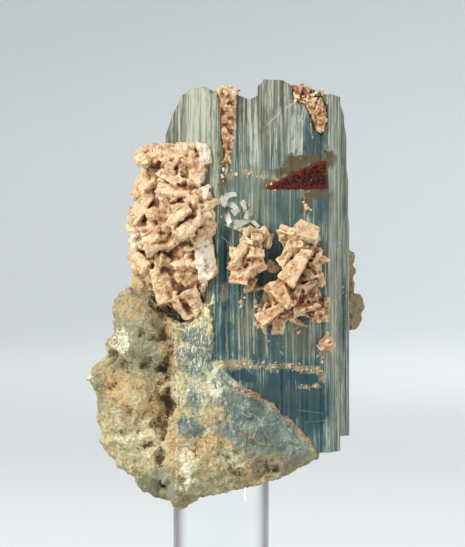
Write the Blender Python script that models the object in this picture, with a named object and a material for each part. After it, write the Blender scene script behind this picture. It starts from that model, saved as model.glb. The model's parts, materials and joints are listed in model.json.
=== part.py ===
"""An aquamarine specimen standing on a clear round rod.

A striated six-sided beryl prism with a stepped, broken top grows out of pale weathered
rock. Tablets of cream feldspar crust its left side, two smaller clusters of them sit on
its front face, more of it fills a cleft and a notch in the top, and a patch of iron
oxide lies in a shallow pit. The stone rests on the flat top of a short clear rod.

Frame: +Z up, the origin at the centre of the rod's foot, the front of the stone towards
-Y. Lengths are in millimetres and become metres where a mesh is made.
"""

import math
import random

import bmesh
import bpy
from mathutils import Vector, noise

MM = 0.001
GAP = 0.15  # kept between two pieces that touch
ROCK_GAP = 0.25  # the same along the rough rock, where a corner reaches past its faces
ABOVE_ALL = 70.0  # higher than the crystal's top
BEYOND_ALL = 20.0  # farther out than any side
TINY = 0.02  # by how much two shapes overlap before they are joined

# The rod
ROD_DIAMETER = 12.0
ROD_HEIGHT = 15.2
ROD_CHAMFER = 0.35
ROD_SIDES = 64

# The crystal: a six-sided prism whose corners all turn by 60 degrees
FRONT_LEFT_EDGE = (-0.6, -7.9)  # the x and y of its nearest upright edge
FACE_TURN = 8.0  # degrees by which the front face looks to the right
FRONT_SIDE, RIGHT_SIDE, REAR_RIGHT_SIDE, LEFT_SIDE = 14.15, 7.45, 8.0, 10.4
CRYSTAL_FOOT = 18.8
STEP_AT_FOOT = (14.9, 20.6)  # right of this x, the crystal starts at this z
STRIA_WIDTHS = (0.45, 1.35)
STRIA_DEPTHS = (0.0, 0.07, 0.14, 0.22, 0.3)
STRIA_FLANK = 0.08
STRIA_CORNER = 0.12  # how near to an edge of the prism the last ridge ends
STRIA_LAST = 0.6  # no ridge starts nearer to the edge than this
TOP_ROWS = (4.6, 9.2)  # how deep the front and middle rows of columns are
REAR_EDGE = 9.0  # behind the rearmost column
THINNEST_COLUMN = 0.5
ROW_DROPS = ((0.0, 0.0), (0.3, 1.5), (0.9, 3.4))

# The columns that end at the top: from x, to x, height at each
COLUMNS = [
    (-7.3, -6.1, 57.1, 60.9), (-6.1, -5.0, 60.9, 63.1), (-5.0, -3.9, 63.1, 63.9),
    (-3.9, -2.0, 63.9, 64.3), (-2.0, -0.5, 64.2, 63.5), (-0.5, 2.0, 62.9, 62.9),
    (2.0, 3.6, 63.4, 62.8), (3.6, 4.6, 62.8, 63.3), (4.6, 5.3, 64.5, 65.1),
    (5.3, 7.9, 65.2, 65.1), (7.9, 8.8, 65.1, 64.6), (8.8, 10.0, 64.5, 64.5),
    (10.0, 11.1, 64.4, 64.2), (11.1, 12.4, 64.2, 63.8), (12.4, 13.6, 63.6, 63.4),
    (13.6, 14.9, 63.4, 63.0), (14.9, 15.4, 62.3, 60.8), (15.4, 15.7, 60.0, 57.8),
    (15.7, 15.95, 54.5, 52.6), (15.95, 16.3, 48.6, 46.5),
]  # fmt: skip

# Outlines as seen from the front: x and z
UPPER_LUMP = [
    (-11.6, 40.1), (-8.2, 39.0), (-6.0, 36.8), (-5.1, 32.8), (-5.6, 27.8), (-8.1, 26.1),
    (-10.1, 26.8), (-12.0, 28.4), (-14.1, 31.2), (-13.9, 34.5), (-14.1, 36.4),
    (-13.6, 38.1), (-12.6, 39.4),
]  # fmt: skip
LOWER_LEFT = [
    (-13.6, 31.5), (-11.4, 32.1), (-7.6, 31.5), (-4.9, 29.0), (-4.4, 25.2), (-3.9, 16.5),
    (-4.1, 13.0), (-6.6, 12.2), (-8.9, 12.8), (-10.5, 13.4), (-11.5, 15.0), (-13.0, 16.4),
    (-14.2, 17.9), (-15.5, 19.2), (-16.0, 20.2), (-15.2, 21.2), (-14.5, 22.1),
    (-15.2, 22.9), (-16.0, 24.0), (-16.2, 25.9), (-16.8, 27.8), (-17.2, 29.2),
    (-16.4, 30.2), (-15.0, 30.8),
]  # fmt: skip
WEDGE = [
    (-4.4, 27.0), (-1.9, 29.0), (0.6, 29.5), (3.1, 27.2), (5.1, 25.5), (7.6, 23.0),
    (10.1, 21.0), (12.5, 19.4), (11.6, 17.8), (9.9, 16.9), (7.9, 16.0), (5.9, 15.1),
    (3.6, 14.6), (0.9, 13.9), (-2.6, 13.4), (-3.6, 12.5), (-4.8, 11.9), (-6.4, 12.6),
    (-7.2, 16.5), (-6.6, 22.1),
]  # fmt: skip
LEFT_COAT = [
    (-6.4, 35.6), (-4.6, 34.8), (-3.4, 35.4), (-1.9, 37.4), (-1.0, 37.0), (-0.7, 33.0),
    (-0.7, 27.5), (-3.0, 25.4), (-6.2, 25.4),
]  # fmt: skip
BACK_LUMP = [
    (16.1, 44.5), (16.9, 43.5), (17.0, 40.0), (17.8, 38.0), (17.9, 35.5), (17.0, 33.5),
    (16.0, 32.5), (15.5, 27.8), (13.6, 22.1), (11.1, 19.2), (6.1, 16.5), (-2.6, 14.6),
    (-8.9, 15.2), (-12.9, 20.2), (-13.6, 27.8), (-13.1, 35.2), (-11.4, 41.5),
    (-7.0, 45.9), (-0.1, 48.2), (7.4, 47.5), (13.0, 45.8),
]  # fmt: skip
LEFT_CRUST = [
    (-8.9, 57.5), (-6.4, 57.2), (-2.1, 58.0), (-1.1, 56.9), (-1.2, 52.2), (-0.1, 48.5),
    (-0.5, 47.0), (0.0, 42.0), (-1.6, 38.0), (-3.9, 34.9), (-6.6, 36.4), (-8.6, 38.5),
    (-11.8, 41.1), (-12.0, 42.5), (-10.9, 45.8), (-11.8, 48.2), (-10.4, 50.9),
    (-10.9, 52.2), (-10.5, 53.5), (-9.5, 56.4),
]  # fmt: skip
CENTRE_CLUSTER = [
    (2.2, 47.0), (3.6, 47.6), (5.6, 47.0), (6.1, 45.5), (5.1, 44.0), (5.6, 42.5),
    (4.4, 39.8), (2.9, 39.0), (1.4, 39.8), (0.6, 43.0), (1.9, 45.5),
]  # fmt: skip
RIGHT_CLUSTER_UPPER = [
    (6.4, 46.8), (8.1, 47.2), (9.4, 48.1), (11.9, 46.8), (12.4, 45.0), (13.5, 43.2),
    (13.0, 41.0), (11.0, 39.6), (8.6, 40.0), (7.9, 42.0), (7.6, 44.0), (6.4, 45.2),
]  # fmt: skip
RIGHT_CLUSTER_LOWER = [
    (6.9, 40.4), (8.6, 41.0), (11.0, 41.0), (13.0, 40.0), (13.5, 37.8), (12.6, 36.0),
    (12.2, 34.0), (11.1, 35.0), (9.4, 35.8), (7.9, 35.0), (7.4, 33.5), (6.1, 34.2),
    (4.4, 34.0), (3.6, 35.5), (4.9, 37.2), (5.6, 38.5),
]  # fmt: skip
KNOB = [(12.1, 33.0), (13.1, 33.8), (14.1, 33.0), (14.4, 32.0), (13.4, 31.1), (12.2, 31.5)]
TOP_RIGHT = [
    (8.9, 64.4), (10.0, 64.5), (11.0, 64.1), (11.4, 63.0), (12.4, 63.1), (13.0, 62.0),
    (13.2, 60.0), (12.5, 58.4), (11.6, 59.2), (11.2, 60.8), (10.4, 62.3), (9.1, 62.7),
]  # fmt: skip
CLEFT = [(-0.5, 66.0), (2.0, 66.0), (1.7, 59.0), (0.6, 52.4), (0.1, 57.8)]
CLEFT_FILL_TOP = 64.1
IRON = [(5.6, 51.8), (7.9, 52.9), (9.9, 53.9), (11.8, 54.8), (12.9, 55.0), (13.1, 51.8)]

CLEFT_DEPTH = 8.5
NOTCH_DEPTH = 1.9
IRON_PIT = 0.5
CLEFT_GRAINS = [(0.72 + 0.2 * (-1) ** i, CLEFT_FILL_TOP - 0.7 - 0.95 * i) for i in range(9)]
NOTCH_GRAINS = [(9.6, 63.7), (10.6, 63.5), (11.5, 62.6), (12.2, 61.8), (12.4, 60.6), (12.4, 59.6)]
GRAIN = (1.35, 0.9, 0.8)  # length, width and thickness
FILL_RECESS = 0.35  # how far a filling lies behind the face

# The rock's lumps: outline, front, widest and rear y, and the count, seed and sizes of
# the broken pieces over it
ROCK_LUMPS = [
    (LOWER_LEFT, (-8.2, -1.0, 8.0), 44, 2, (3.6, 6.6)),
    (UPPER_LUMP, (-7.6, -1.5, 5.5), 26, 6, (3.4, 5.6)),
    (BACK_LUMP, (-1.0, 6.0, 11.0), 56, 7, (4.5, 8.0)),
]
ROCK_SKIN = 0.55  # how far the broken pieces stand out of the lumps
CHUNK_CORNERS = 13
CHUNK_SINK = 0.22  # how much of its size a broken piece is sunk
WEDGE_REACH = (-0.55, 0.1, 13.0)  # front, widest and rear, from the crystal's front face
WEDGE_INSET = 0.6
WEDGE_CHUNKS = (28, 41, (1.8, 3.4))
COAT_REACH = (-0.1, 0.5, 7.0)
COAT_SWING = 0.25  # how fast its front falls back from the crystal's edge
COAT_CHUNKS = (12, 19, (1.6, 2.8))
ROCK_VOXEL = 0.55
ROCK_TRIANGLES = 3200
ROCK_SWELLS = [(3.0, 0.35), (1.3, 0.2)]  # size and height of the bumps

# Where the rod's top meets the rock, which hangs lower to the left of it and in front
LEDGE_HEIGHT = ROD_HEIGHT + GAP
LEDGE_SIDES = (-(ROD_DIAMETER / 2 + 0.25), 9.0)
LIP_BACK = -(ROD_DIAMETER / 2 + 0.2)

# The feldspar: reaches are front, widest and rear y from the face it grows on, and mounds
# are outline, inset, and the count and seed of the tablets
LEFT_REACH = (-2.4, 2.0, 7.5)
LEFT_SWING = 0.75  # how fast the left crust falls back, in y for each step in x
LEFT_MOUND = (LEFT_CRUST, 0.4, 70, 21)
LEFT_TABLETS = (2.6, 4.4)  # the range of their lengths
LEFT_TRIANGLES = 2300
CENTRE_MOUND = (CENTRE_CLUSTER, 0.3, 13, 5)
RIGHT_MOUNDS = [(RIGHT_CLUSTER_UPPER, 0.25, 13, 8), (RIGHT_CLUSTER_LOWER, 0.3, 16, 9)]
KNOB_MOUND = (KNOB, 0.2, 4, 3)
CLUSTERS = [
    ("feldspar_cluster_centre", [CENTRE_MOUND], (-1.7, 0.2, 1.5), (1.5, 2.6), 480),
    ("feldspar_cluster_right", RIGHT_MOUNDS, (-2.0, 0.2, 1.5), (1.7, 3.0), 950),
    ("feldspar_knob", [KNOB_MOUND], (-1.2, 0.2, 1.5), (1.1, 1.7), 120),
]
FELDSPAR_VOXEL = 0.22
FELDSPAR_SWELLS = [(1.6, 0.16)]

# How a lump is rounded from front to rear
LOFT_STEPS = 4
LOFT_END = math.radians(86)
DOME = 2.4  # the power of its curve: 2 is a ball, more is squarer
SLAB = 6.0
GOLDEN_ANGLE = math.pi * (3 - math.sqrt(5))
SHARPEST = 0.35  # keeps a sharp corner from shooting out when its outline grows
WELD = 0.002 * MM


def clear_scene():
    for old in list(bpy.data.objects):
        bpy.data.objects.remove(old, do_unlink=True)


def material(name, colour, roughness):
    made = bpy.data.materials.new(name)
    made.use_nodes = True
    shader = made.node_tree.nodes["Principled BSDF"]
    shader.inputs["Base Color"].default_value = (*colour, 1.0)
    shader.inputs["Roughness"].default_value = roughness
    shader.inputs["Metallic"].default_value = 0.0
    made.diffuse_color = (*colour, 1.0)
    return made


def object_of(shape, name):
    """Turns a bmesh into an object of the scene."""
    mesh = bpy.data.meshes.new(name)
    shape.to_mesh(mesh)
    shape.free()
    made = bpy.data.objects.new(name, mesh)
    bpy.context.scene.collection.objects.link(made)
    return made


def stacked(name, points, rings):
    """A body made of rings of points in millimetres, with its first and last ring closed."""
    count = len(points) // rings
    faces = [tuple(range(count)), tuple(range((rings - 1) * count, rings * count))]
    for start in range(0, (rings - 1) * count, count):
        for i in range(count):
            j = (i + 1) % count
            faces.append((start + i, start + j, start + count + j, start + count + i))
    shape = bmesh.new()
    corners = [shape.verts.new(Vector(point) * MM) for point in points]
    for face in faces:
        shape.faces.new([corners[index] for index in face])
    bmesh.ops.recalc_face_normals(shape, faces=shape.faces)
    return object_of(shape, name)


def apply_modifiers(obj):
    """Replaces the object's mesh by what its modifiers make of it."""
    graph = bpy.context.evaluated_depsgraph_get()
    finished = bpy.data.meshes.new_from_object(obj.evaluated_get(graph))
    obj.modifiers.clear()
    obj.data = finished
    return obj


def discard(obj):
    bpy.data.objects.remove(obj, do_unlink=True)


def combine(obj, other, operation, folded=False):
    """Joins, cuts or intersects obj with other, which is used up.

    Folded is for an other whose skin may pass through itself.
    """
    boolean = obj.modifiers.new("Boolean", "BOOLEAN")
    boolean.operation = operation
    boolean.solver = "EXACT"
    boolean.use_self = folded
    boolean.object = other
    apply_modifiers(obj)
    discard(other)
    return obj


def join_all(pieces):
    whole, *others = pieces
    for other in others:
        combine(whole, other, "UNION")
    return whole


def largest_body(obj):
    """Drops the crumbs that a cut leaves loose, and seams thinner than the mesh can hold."""
    shape = bmesh.new()
    shape.from_mesh(obj.data)
    bmesh.ops.remove_doubles(shape, verts=shape.verts, dist=WELD)
    bmesh.ops.dissolve_degenerate(shape, edges=shape.edges, dist=WELD)
    bmesh.ops.triangulate(shape, faces=shape.faces)
    unseen = set(shape.verts)
    bodies = []
    while unseen:
        body = [unseen.pop()]
        for vert in body:
            for edge in vert.link_edges:
                other = edge.other_vert(vert)
                if other in unseen:
                    unseen.discard(other)
                    body.append(other)
        bodies.append(body)
    bodies.sort(key=len)
    crumbs = [vert for body in bodies[:-1] for vert in body]
    bmesh.ops.delete(shape, geom=crumbs, context="VERTS")
    shape.to_mesh(obj.data)
    shape.free()
    return obj


def finish(obj, name, finish_material):
    obj.name = name
    obj.data.name = name
    obj.data.materials.clear()
    obj.data.materials.append(finish_material)
    return obj


def upright_prism(name, plan, bottom, tops):
    """A prism on a plan of x and y; tops holds the height of each of its corners."""
    points = [(x, y, bottom) for x, y in plan]
    points += [(x, y, top) for (x, y), top in zip(plan, tops)]
    return stacked(name, points, 2)


def straight(x):
    return 0.0


def level_prism(name, outline, front, back, follow=straight):
    """A prism on an outline of x and z, running along y. Follow gives the y that counts as 0."""
    points = [(x, front + follow(x), z) for x, z in outline]
    points += [(x, back + follow(x), z) for x, z in outline]
    return stacked(name, points, 2)


def box(name, low, high):
    plan = [(low[0], low[1]), (high[0], low[1]), (high[0], high[1]), (low[0], high[1])]
    return upright_prism(name, plan, low[2], [high[2]] * 4)


def signed_area(outline):
    area = 0.0
    for (x0, y0), (x1, y1) in zip(outline, outline[1:] + outline[:1]):
        area += (x0 * y1 - x1 * y0) / 2
    return area


def grown(outline, distance):
    """The outline with each side moved outwards by a distance, or inwards if negative."""
    turn = 1 if signed_area(outline) > 0 else -1
    result = []
    for i, here in enumerate(outline):
        before = Vector(outline[i - 1])
        after = Vector(outline[(i + 1) % len(outline)])
        here = Vector(here)
        first = (here - before).normalized()
        second = (after - here).normalized()
        normal_a = Vector((first.y, -first.x)) * turn
        normal_b = Vector((second.y, -second.x)) * turn
        middle = (normal_a + normal_b).normalized()
        reach = distance / max(SHARPEST, middle.dot(normal_a))
        result.append(tuple(here + middle * reach))
    return result


def centre_of(outline):
    count = len(outline)
    return sum(x for x, _ in outline) / count, sum(z for _, z in outline) / count


def bulge(scale, power):
    """How far from its widest ring a lump has narrowed to this share of its outline."""
    return (1 - min(1.0, scale) ** power) ** (1 / power)


def lump(outline, reach, power=DOME, follow=straight):
    """A rounded body that fills its outline at its widest y and closes in front and behind."""
    front, widest, back = reach
    cx, cz = centre_of(outline)
    points = []
    for i in range(-LOFT_STEPS, LOFT_STEPS + 1):
        scale = math.cos(LOFT_END * i / LOFT_STEPS) ** (2 / power)
        depth = bulge(scale, power)
        y = widest + depth * (back - widest if i > 0 else front - widest)
        for x, z in outline:
            ring_x = cx + (x - cx) * scale
            points.append((ring_x, y + follow(ring_x), cz + (z - cz) * scale))
    return stacked("lump", points, 2 * LOFT_STEPS + 1)


def fused(pieces, voxel):
    """Overlapping pieces made one skin."""
    shape = bmesh.new()
    for piece in pieces:
        shape.from_mesh(piece.data)
        discard(piece)
    whole = object_of(shape, "fused")
    remesh = whole.modifiers.new("Remesh", "REMESH")
    remesh.mode = "VOXEL"
    remesh.voxel_size = voxel * MM
    return apply_modifiers(whole)


def roughened(obj, swells):
    """Moves each point along its normal by smooth noise; swells are (size, height) pairs."""
    for size, height in swells:
        normals = [vert.normal.copy() for vert in obj.data.vertices]
        for vert, normal in zip(obj.data.vertices, normals):
            value = noise.fractal(vert.co / (size * MM), 0.9, 2.1, 3)
            vert.co += normal * value * height * MM
    return obj


def thinned(obj, triangles):
    obj.data.calc_loop_triangles()
    decimate = obj.modifiers.new("Decimate", "DECIMATE")
    decimate.decimate_type = "COLLAPSE"
    decimate.ratio = min(1.0, triangles / len(obj.data.loop_triangles))
    decimate.use_collapse_triangulate = True
    return apply_modifiers(obj)


def inflated(obj, distance):
    """A copy with every face moved outwards, to cut a neighbour clear of this piece."""
    shape = bmesh.new()
    shape.from_mesh(obj.data)
    shape.normal_update()
    for vert, normal in [(vert, vert.normal.copy()) for vert in shape.verts]:
        vert.co += normal * distance * MM
    return object_of(shape, "inflated")


def hull(points):
    """The convex solid around some points."""
    shape = bmesh.new()
    for point in points:
        shape.verts.new(point * MM)
    made = bmesh.ops.convex_hull(shape, input=shape.verts)
    spare = {item for item in made["geom_interior"] + made["geom_unused"]}
    verts = [vert for vert in shape.verts if vert in spare]
    bmesh.ops.delete(shape, geom=verts, context="VERTS")
    bmesh.ops.recalc_face_normals(shape, faces=shape.faces)
    return object_of(shape, "hull")


def tablet(rng, centre, axis, face, length, width, thickness):
    """One feldspar crystal: an angular tablet with one end narrower than the other."""
    along = axis.normalized()
    up = (face - along * face.dot(along)).normalized()
    across = along.cross(up)
    points = []
    for end in (-1, 1):
        narrowing = rng.uniform(0.45, 0.8) if end > 0 else 1.0
        for side in (-1, 1):
            for level in (-1, 1):
                points.append(
                    centre
                    + along * end * length / 2 * rng.uniform(0.8, 1.15)
                    + across * side * width / 2 * narrowing * rng.uniform(0.75, 1.1)
                    + up * level * thickness / 2 * narrowing
                )
    return hull(points)


def chunk(rng, centre, outwards, size):
    """One broken piece of rock: a squat solid with a dozen flat faces."""
    squash = Vector([rng.gauss(0, 0.6) for _ in range(3)]) + outwards
    squash.normalize()
    flatness = rng.uniform(0.5, 0.8)
    points = []
    for _ in range(CHUNK_CORNERS):
        point = Vector([rng.gauss(0, 1) for _ in range(3)]).normalized()
        point -= squash * point.dot(squash) * (1 - flatness)
        points.append(centre + point * size / 2 * rng.uniform(0.85, 1.1))
    return hull(points)


def rim_point(outline, centre, angle):
    """Where a ray from the centre leaves the outline."""
    heading = Vector((math.cos(angle), math.sin(angle)))
    origin = Vector(centre)
    best = None
    for a, b in zip(outline, outline[1:] + outline[:1]):
        a, b = Vector(a), Vector(b)
        side = b - a
        crossing = heading.x * side.y - heading.y * side.x
        if abs(crossing) < 1e-9:
            continue
        offset = a - origin
        reach = (offset.x * side.y - offset.y * side.x) / crossing
        share = (offset.x * heading.y - offset.y * heading.x) / crossing
        if reach > 0 and -1e-6 <= share <= 1 + 1e-6:
            best = reach if best is None else max(best, reach)
    return origin + heading * best


def places_over(rng, outline, reach, count, power, follow):
    """Places spread evenly over a lump, each with the direction that leads out of it.

    They start at the middle of its front and wind outwards. Where the reach has a rear,
    they go on over the rim and wind in again behind.
    """
    front, widest, back = reach
    centre = centre_of(outline)
    for i in range(count):
        area = (1 if back is None else 2) * (i + 0.5) / count
        share = math.sqrt(area if area < 1 else 2 - area)
        rim = rim_point(outline, centre, i * GOLDEN_ANGLE + rng.uniform(-0.2, 0.2))
        x = centre[0] + (rim.x - centre[0]) * share
        z = centre[1] + (rim.y - centre[1]) * share
        depth = front - widest if area < 1 else back - widest
        y = widest + bulge(share, power) * depth
        slope = math.copysign(6 * (1 - share), depth)
        outwards = Vector((x - centre[0], slope, z - centre[1])).normalized()
        yield Vector((x, y + follow(x), z)), outwards


def tablets_over(outline, reach, count, seed, sizes, follow):
    """Feldspar tablets that lie over a lump at every lean, half sunk in it."""
    rng = random.Random(seed)
    made = []
    for place, outwards in places_over(rng, outline, reach, count, DOME, follow):
        loose = Vector([rng.gauss(0, 1) for _ in range(3)])
        flat = (loose - outwards * loose.dot(outwards)).normalized()
        axis = flat + outwards * rng.uniform(0.0, 0.6)
        face = outwards + Vector([rng.gauss(0, 0.45) for _ in range(3)])
        length = rng.uniform(*sizes)
        width = length * rng.uniform(0.6, 0.9)
        thickness = length * rng.uniform(0.3, 0.55)
        sunk = place - outwards * thickness * 0.35
        made.append(tablet(rng, sunk, axis, face, length, width, thickness))
    return made


def chunks_over(outline, reach, count, seed, sizes, power=DOME, follow=straight):
    """Broken pieces of rock over a lump, more than half sunk in it."""
    rng = random.Random(seed)
    made = []
    for place, outwards in places_over(rng, outline, reach, count, power, follow):
        size = rng.uniform(*sizes)
        made.append(chunk(rng, place - outwards * size * CHUNK_SINK, outwards, size))
    return made


def striated_plan(plan, seed):
    """The plan with every side broken into long narrow ridges, as beryl grows."""
    rng = random.Random(seed)
    result = []
    for start, end in zip(plan, plan[1:] + plan[:1]):
        start, end = Vector(start), Vector(end)
        length = (end - start).length
        along = (end - start) / length
        inwards = Vector((-along.y, along.x))
        depth = 0.0
        at = STRIA_CORNER
        result.append(start + along * at)
        while True:
            at += rng.uniform(*STRIA_WIDTHS)
            if at > length - STRIA_LAST:
                break
            result.append(start + along * at + inwards * depth)
            depth = rng.choice(STRIA_DEPTHS)
            result.append(start + along * (at + STRIA_FLANK) + inwards * depth)
        result.append(start + along * (length - STRIA_CORNER) + inwards * depth * 0.3)
    return [tuple(point) for point in result]


def crystal_plan():
    """The prism's corners seen from above, front left first and on round to the right."""
    rear_left = RIGHT_SIDE + REAR_RIGHT_SIDE - LEFT_SIDE
    rear = FRONT_SIDE + RIGHT_SIDE - rear_left
    corners = [Vector(FRONT_LEFT_EDGE)]
    heading = math.radians(FACE_TURN)
    for side in (FRONT_SIDE, RIGHT_SIDE, REAR_RIGHT_SIDE, rear, rear_left):
        corners.append(corners[-1] + side * Vector((math.cos(heading), math.sin(heading))))
        heading += math.radians(60)
    return [tuple(corner) for corner in corners]


def on_face(x):
    """The y of the crystal's front face at this x."""
    return FRONT_LEFT_EDGE[1] + (x - FRONT_LEFT_EDGE[0]) * math.tan(math.radians(FACE_TURN))


def front_of(x):
    """The y where the crystal's plan meets the viewer at this x, on whichever side is in front."""
    left, right = FRONT_LEFT_EDGE[0], crystal_plan()[1][0]
    past_left, past_right = max(0.0, left - x), max(0.0, x - right)
    rise_left = math.tan(math.radians(60 - FACE_TURN))
    rise_right = math.tan(math.radians(60 + FACE_TURN))
    return on_face(min(max(x, left), right)) + past_left * rise_left + past_right * rise_right


def beside_left_face(x, swing=LEFT_SWING):
    """The y that the left crust follows: with the front face, then back along the left one."""
    past_left = max(0.0, FRONT_LEFT_EDGE[0] - x)
    return on_face(x + past_left) + past_left * swing


def over_coat(x):
    return beside_left_face(x, COAT_SWING)


def stepped_columns(seed):
    """Square columns of uneven height, which give the crystal its broken top."""
    rng = random.Random(seed)
    made = []
    for x0, x1, z0, z1 in COLUMNS:
        front = min(front_of(x0), front_of(x1))
        edges = (front - 1.0, front + TOP_ROWS[0], front + TOP_ROWS[1], REAR_EDGE)
        base = STEP_AT_FOOT[1] if x0 >= STEP_AT_FOOT[0] else CRYSTAL_FOOT
        for row, (least, most) in enumerate(ROW_DROPS):
            y0, y1 = edges[row] - TINY, edges[row + 1] + TINY
            if y1 - y0 < THINNEST_COLUMN:
                continue
            drop = rng.uniform(least, most)
            lean = rng.uniform(-0.25, 0.35)
            plan = [(x0 - TINY, y0), (x1 + TINY, y0), (x1 + TINY, y1), (x0 - TINY, y1)]
            tops = [z0 - drop, z1 - drop, z1 - drop - lean, z0 - drop - lean]
            made.append(upright_prism("column", plan, base, tops))
    return join_all(made)


def aquamarine_crystal():
    plan = striated_plan(crystal_plan(), 11)
    body = upright_prism("crystal", plan, CRYSTAL_FOOT - 1, [ABOVE_ALL] * len(plan))
    combine(body, stepped_columns(4), "INTERSECT")
    for outline, depth in (
        (CLEFT, CLEFT_DEPTH),
        (grown(TOP_RIGHT, GAP), NOTCH_DEPTH),
        (grown(IRON, GAP), IRON_PIT),
    ):
        combine(body, level_prism("cut", outline, -1, depth, on_face), "DIFFERENCE")
    largest_body(body)
    return finish(body, "aquamarine_crystal", material("aquamarine", (0.17, 0.33, 0.37), 0.22))


def crystal_clearance():
    """The space that the crystal needs, with its gap, for cutting the pieces around it."""
    plan = grown(crystal_plan(), GAP)
    space = upright_prism("clearance", plan, CRYSTAL_FOOT - GAP, [ABOVE_ALL] * len(plan))
    x, z = STEP_AT_FOOT
    low = (x + GAP, -BEYOND_ALL, CRYSTAL_FOOT - 1)
    corner = box("corner", low, (BEYOND_ALL, BEYOND_ALL, z - GAP))
    return combine(space, corner, "DIFFERENCE")


def matrix_rock():
    """The rock. What is returned is its envelope, which cuts a neighbour clear of it."""
    pieces = []
    for outline, (front, widest, back), *chunks in ROCK_LUMPS:
        inner = grown(outline, -ROCK_SKIN)
        reach = (front + ROCK_SKIN, widest, back - ROCK_SKIN)
        pieces.append(lump(inner, reach))
        pieces += chunks_over(inner, reach, *chunks)
    for outline, reach, chunks, follow in (
        (WEDGE, WEDGE_REACH, WEDGE_CHUNKS, on_face),
        (LEFT_COAT, COAT_REACH, COAT_CHUNKS, over_coat),
    ):
        pieces.append(lump(outline, reach, SLAB, follow))
        pieces += chunks_over(grown(outline, -WEDGE_INSET), reach, *chunks, SLAB, follow)
    rock = fused(pieces, ROCK_VOXEL)
    roughened(rock, ROCK_SWELLS)
    thinned(rock, ROCK_TRIANGLES)
    envelope = inflated(rock, ROCK_GAP)
    combine(rock, crystal_clearance(), "DIFFERENCE")
    low = (LEDGE_SIDES[0], LIP_BACK, 0.0)
    high = (LEDGE_SIDES[1], BEYOND_ALL, LEDGE_HEIGHT)
    combine(rock, box("ledge", low, high), "DIFFERENCE")
    largest_body(rock)
    finish(rock, "matrix_rock", material("weathered_rock", (0.40, 0.38, 0.29), 0.85))
    return envelope


def feldspar():
    return material("feldspar", (0.62, 0.47, 0.32), 0.75)


def crust(name, mounds, reach, sizes, triangles, follow, envelope=None):
    """Tablets on low mounds, fused and cut to fit the crystal and the rock's envelope."""
    front, widest, back = reach
    pieces = []
    for outline, inset, count, seed in mounds:
        inner = grown(outline, -inset)
        pieces.append(lump(inner, reach, follow=follow))
        covered = reach if envelope else (front, widest, None)
        pieces += tablets_over(inner, covered, count, seed, sizes, follow)
    body = fused(pieces, FELDSPAR_VOXEL)
    roughened(body, FELDSPAR_SWELLS)
    thinned(body, triangles)
    combine(body, crystal_clearance(), "DIFFERENCE")
    if envelope:
        combine(body, envelope, "DIFFERENCE", folded=True)
    largest_body(body)
    return finish(body, name, feldspar())


def left_crust(envelope):
    shape = ([LEFT_MOUND], LEFT_REACH, LEFT_TABLETS, LEFT_TRIANGLES)
    crust("feldspar_crust_left", *shape, beside_left_face, envelope)


def clusters_on_face():
    for cluster in CLUSTERS:
        crust(*cluster, on_face)


def filling(name, hole, depth, grains, seed):
    """Crumbled feldspar that fills a hole in the crystal's front, its grains a little proud."""
    rng = random.Random(seed)
    inside = grown(hole, -GAP)
    body = level_prism("filling", inside, FILL_RECESS, depth - GAP, on_face)
    pieces = [body]
    for x, z in grains:
        centre = Vector((x, on_face(x) + rng.uniform(0.2, 0.5), z))
        axis = Vector((rng.uniform(-0.7, 0.7), rng.uniform(-0.6, 0.1), 1.0))
        face = Vector((rng.uniform(-0.6, 0.6), -1.0, rng.uniform(-0.5, 0.5)))
        pieces.append(tablet(rng, centre, axis, face, *GRAIN))
    join_all(pieces)
    surround = level_prism("surround", grown(hole, 4.0), -GAP, depth + 3.0, on_face)
    combine(surround, level_prism("hole", inside, -4, depth + 5, on_face), "DIFFERENCE")
    combine(body, surround, "DIFFERENCE")
    largest_body(body)
    return finish(body, name, feldspar())


def fillings():
    cleft = [(x, min(z, CLEFT_FILL_TOP)) for x, z in CLEFT]
    filling("feldspar_cleft_filling", cleft, CLEFT_DEPTH, CLEFT_GRAINS, 31)
    filling("feldspar_top_right", TOP_RIGHT, NOTCH_DEPTH, NOTCH_GRAINS, 17)


def iron_patch():
    """A thin crust of iron oxide that fills its pit nearly to the crystal's face."""
    body = level_prism("iron", IRON, TINY, IRON_PIT - GAP, on_face)
    return finish(body, "iron_oxide_patch", material("iron_oxide", (0.16, 0.045, 0.028), 0.8))


def display_stand():
    """The rod: a turned profile of its foot, side and top, with both rims chamfered."""
    radius = ROD_DIAMETER / 2
    profile = [
        (radius - ROD_CHAMFER, 0.0),
        (radius, ROD_CHAMFER),
        (radius, ROD_HEIGHT - ROD_CHAMFER),
        (radius - ROD_CHAMFER, ROD_HEIGHT),
    ]
    points = []
    for ring, z in profile:
        for i in range(ROD_SIDES):
            turn = math.tau * i / ROD_SIDES
            points.append((ring * math.cos(turn), ring * math.sin(turn), z))
    rod = stacked("rod", points, len(profile))
    rod.data.shade_smooth()
    rod.data.set_sharp_from_angle(angle=math.radians(30))
    return finish(rod, "display_stand", material("clear_acrylic", (0.85, 0.87, 0.88), 0.06))


def build():
    clear_scene()
    aquamarine_crystal()
    envelope = matrix_rock()
    left_crust(envelope)
    clusters_on_face()
    fillings()
    iron_patch()
    display_stand()


build()
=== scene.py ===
# %% [markdown]
# An aquamarine crystal grows out of weathered rock, crusted with cream feldspar, and the
# stone stands on a short clear rod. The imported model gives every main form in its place.
# This lesson keeps those forms and gives each one the surface that the real stone has:
# fine upright grooves in the beryl, broken blades in the feldspar, grains in the rock.
# Lengths are written in millimetres, because the stone is only a few centimetres long.
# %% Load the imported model
import json
import math
import random

import bpy
import numpy as np
from mathutils import Matrix, Quaternion, Vector, noise

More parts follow.
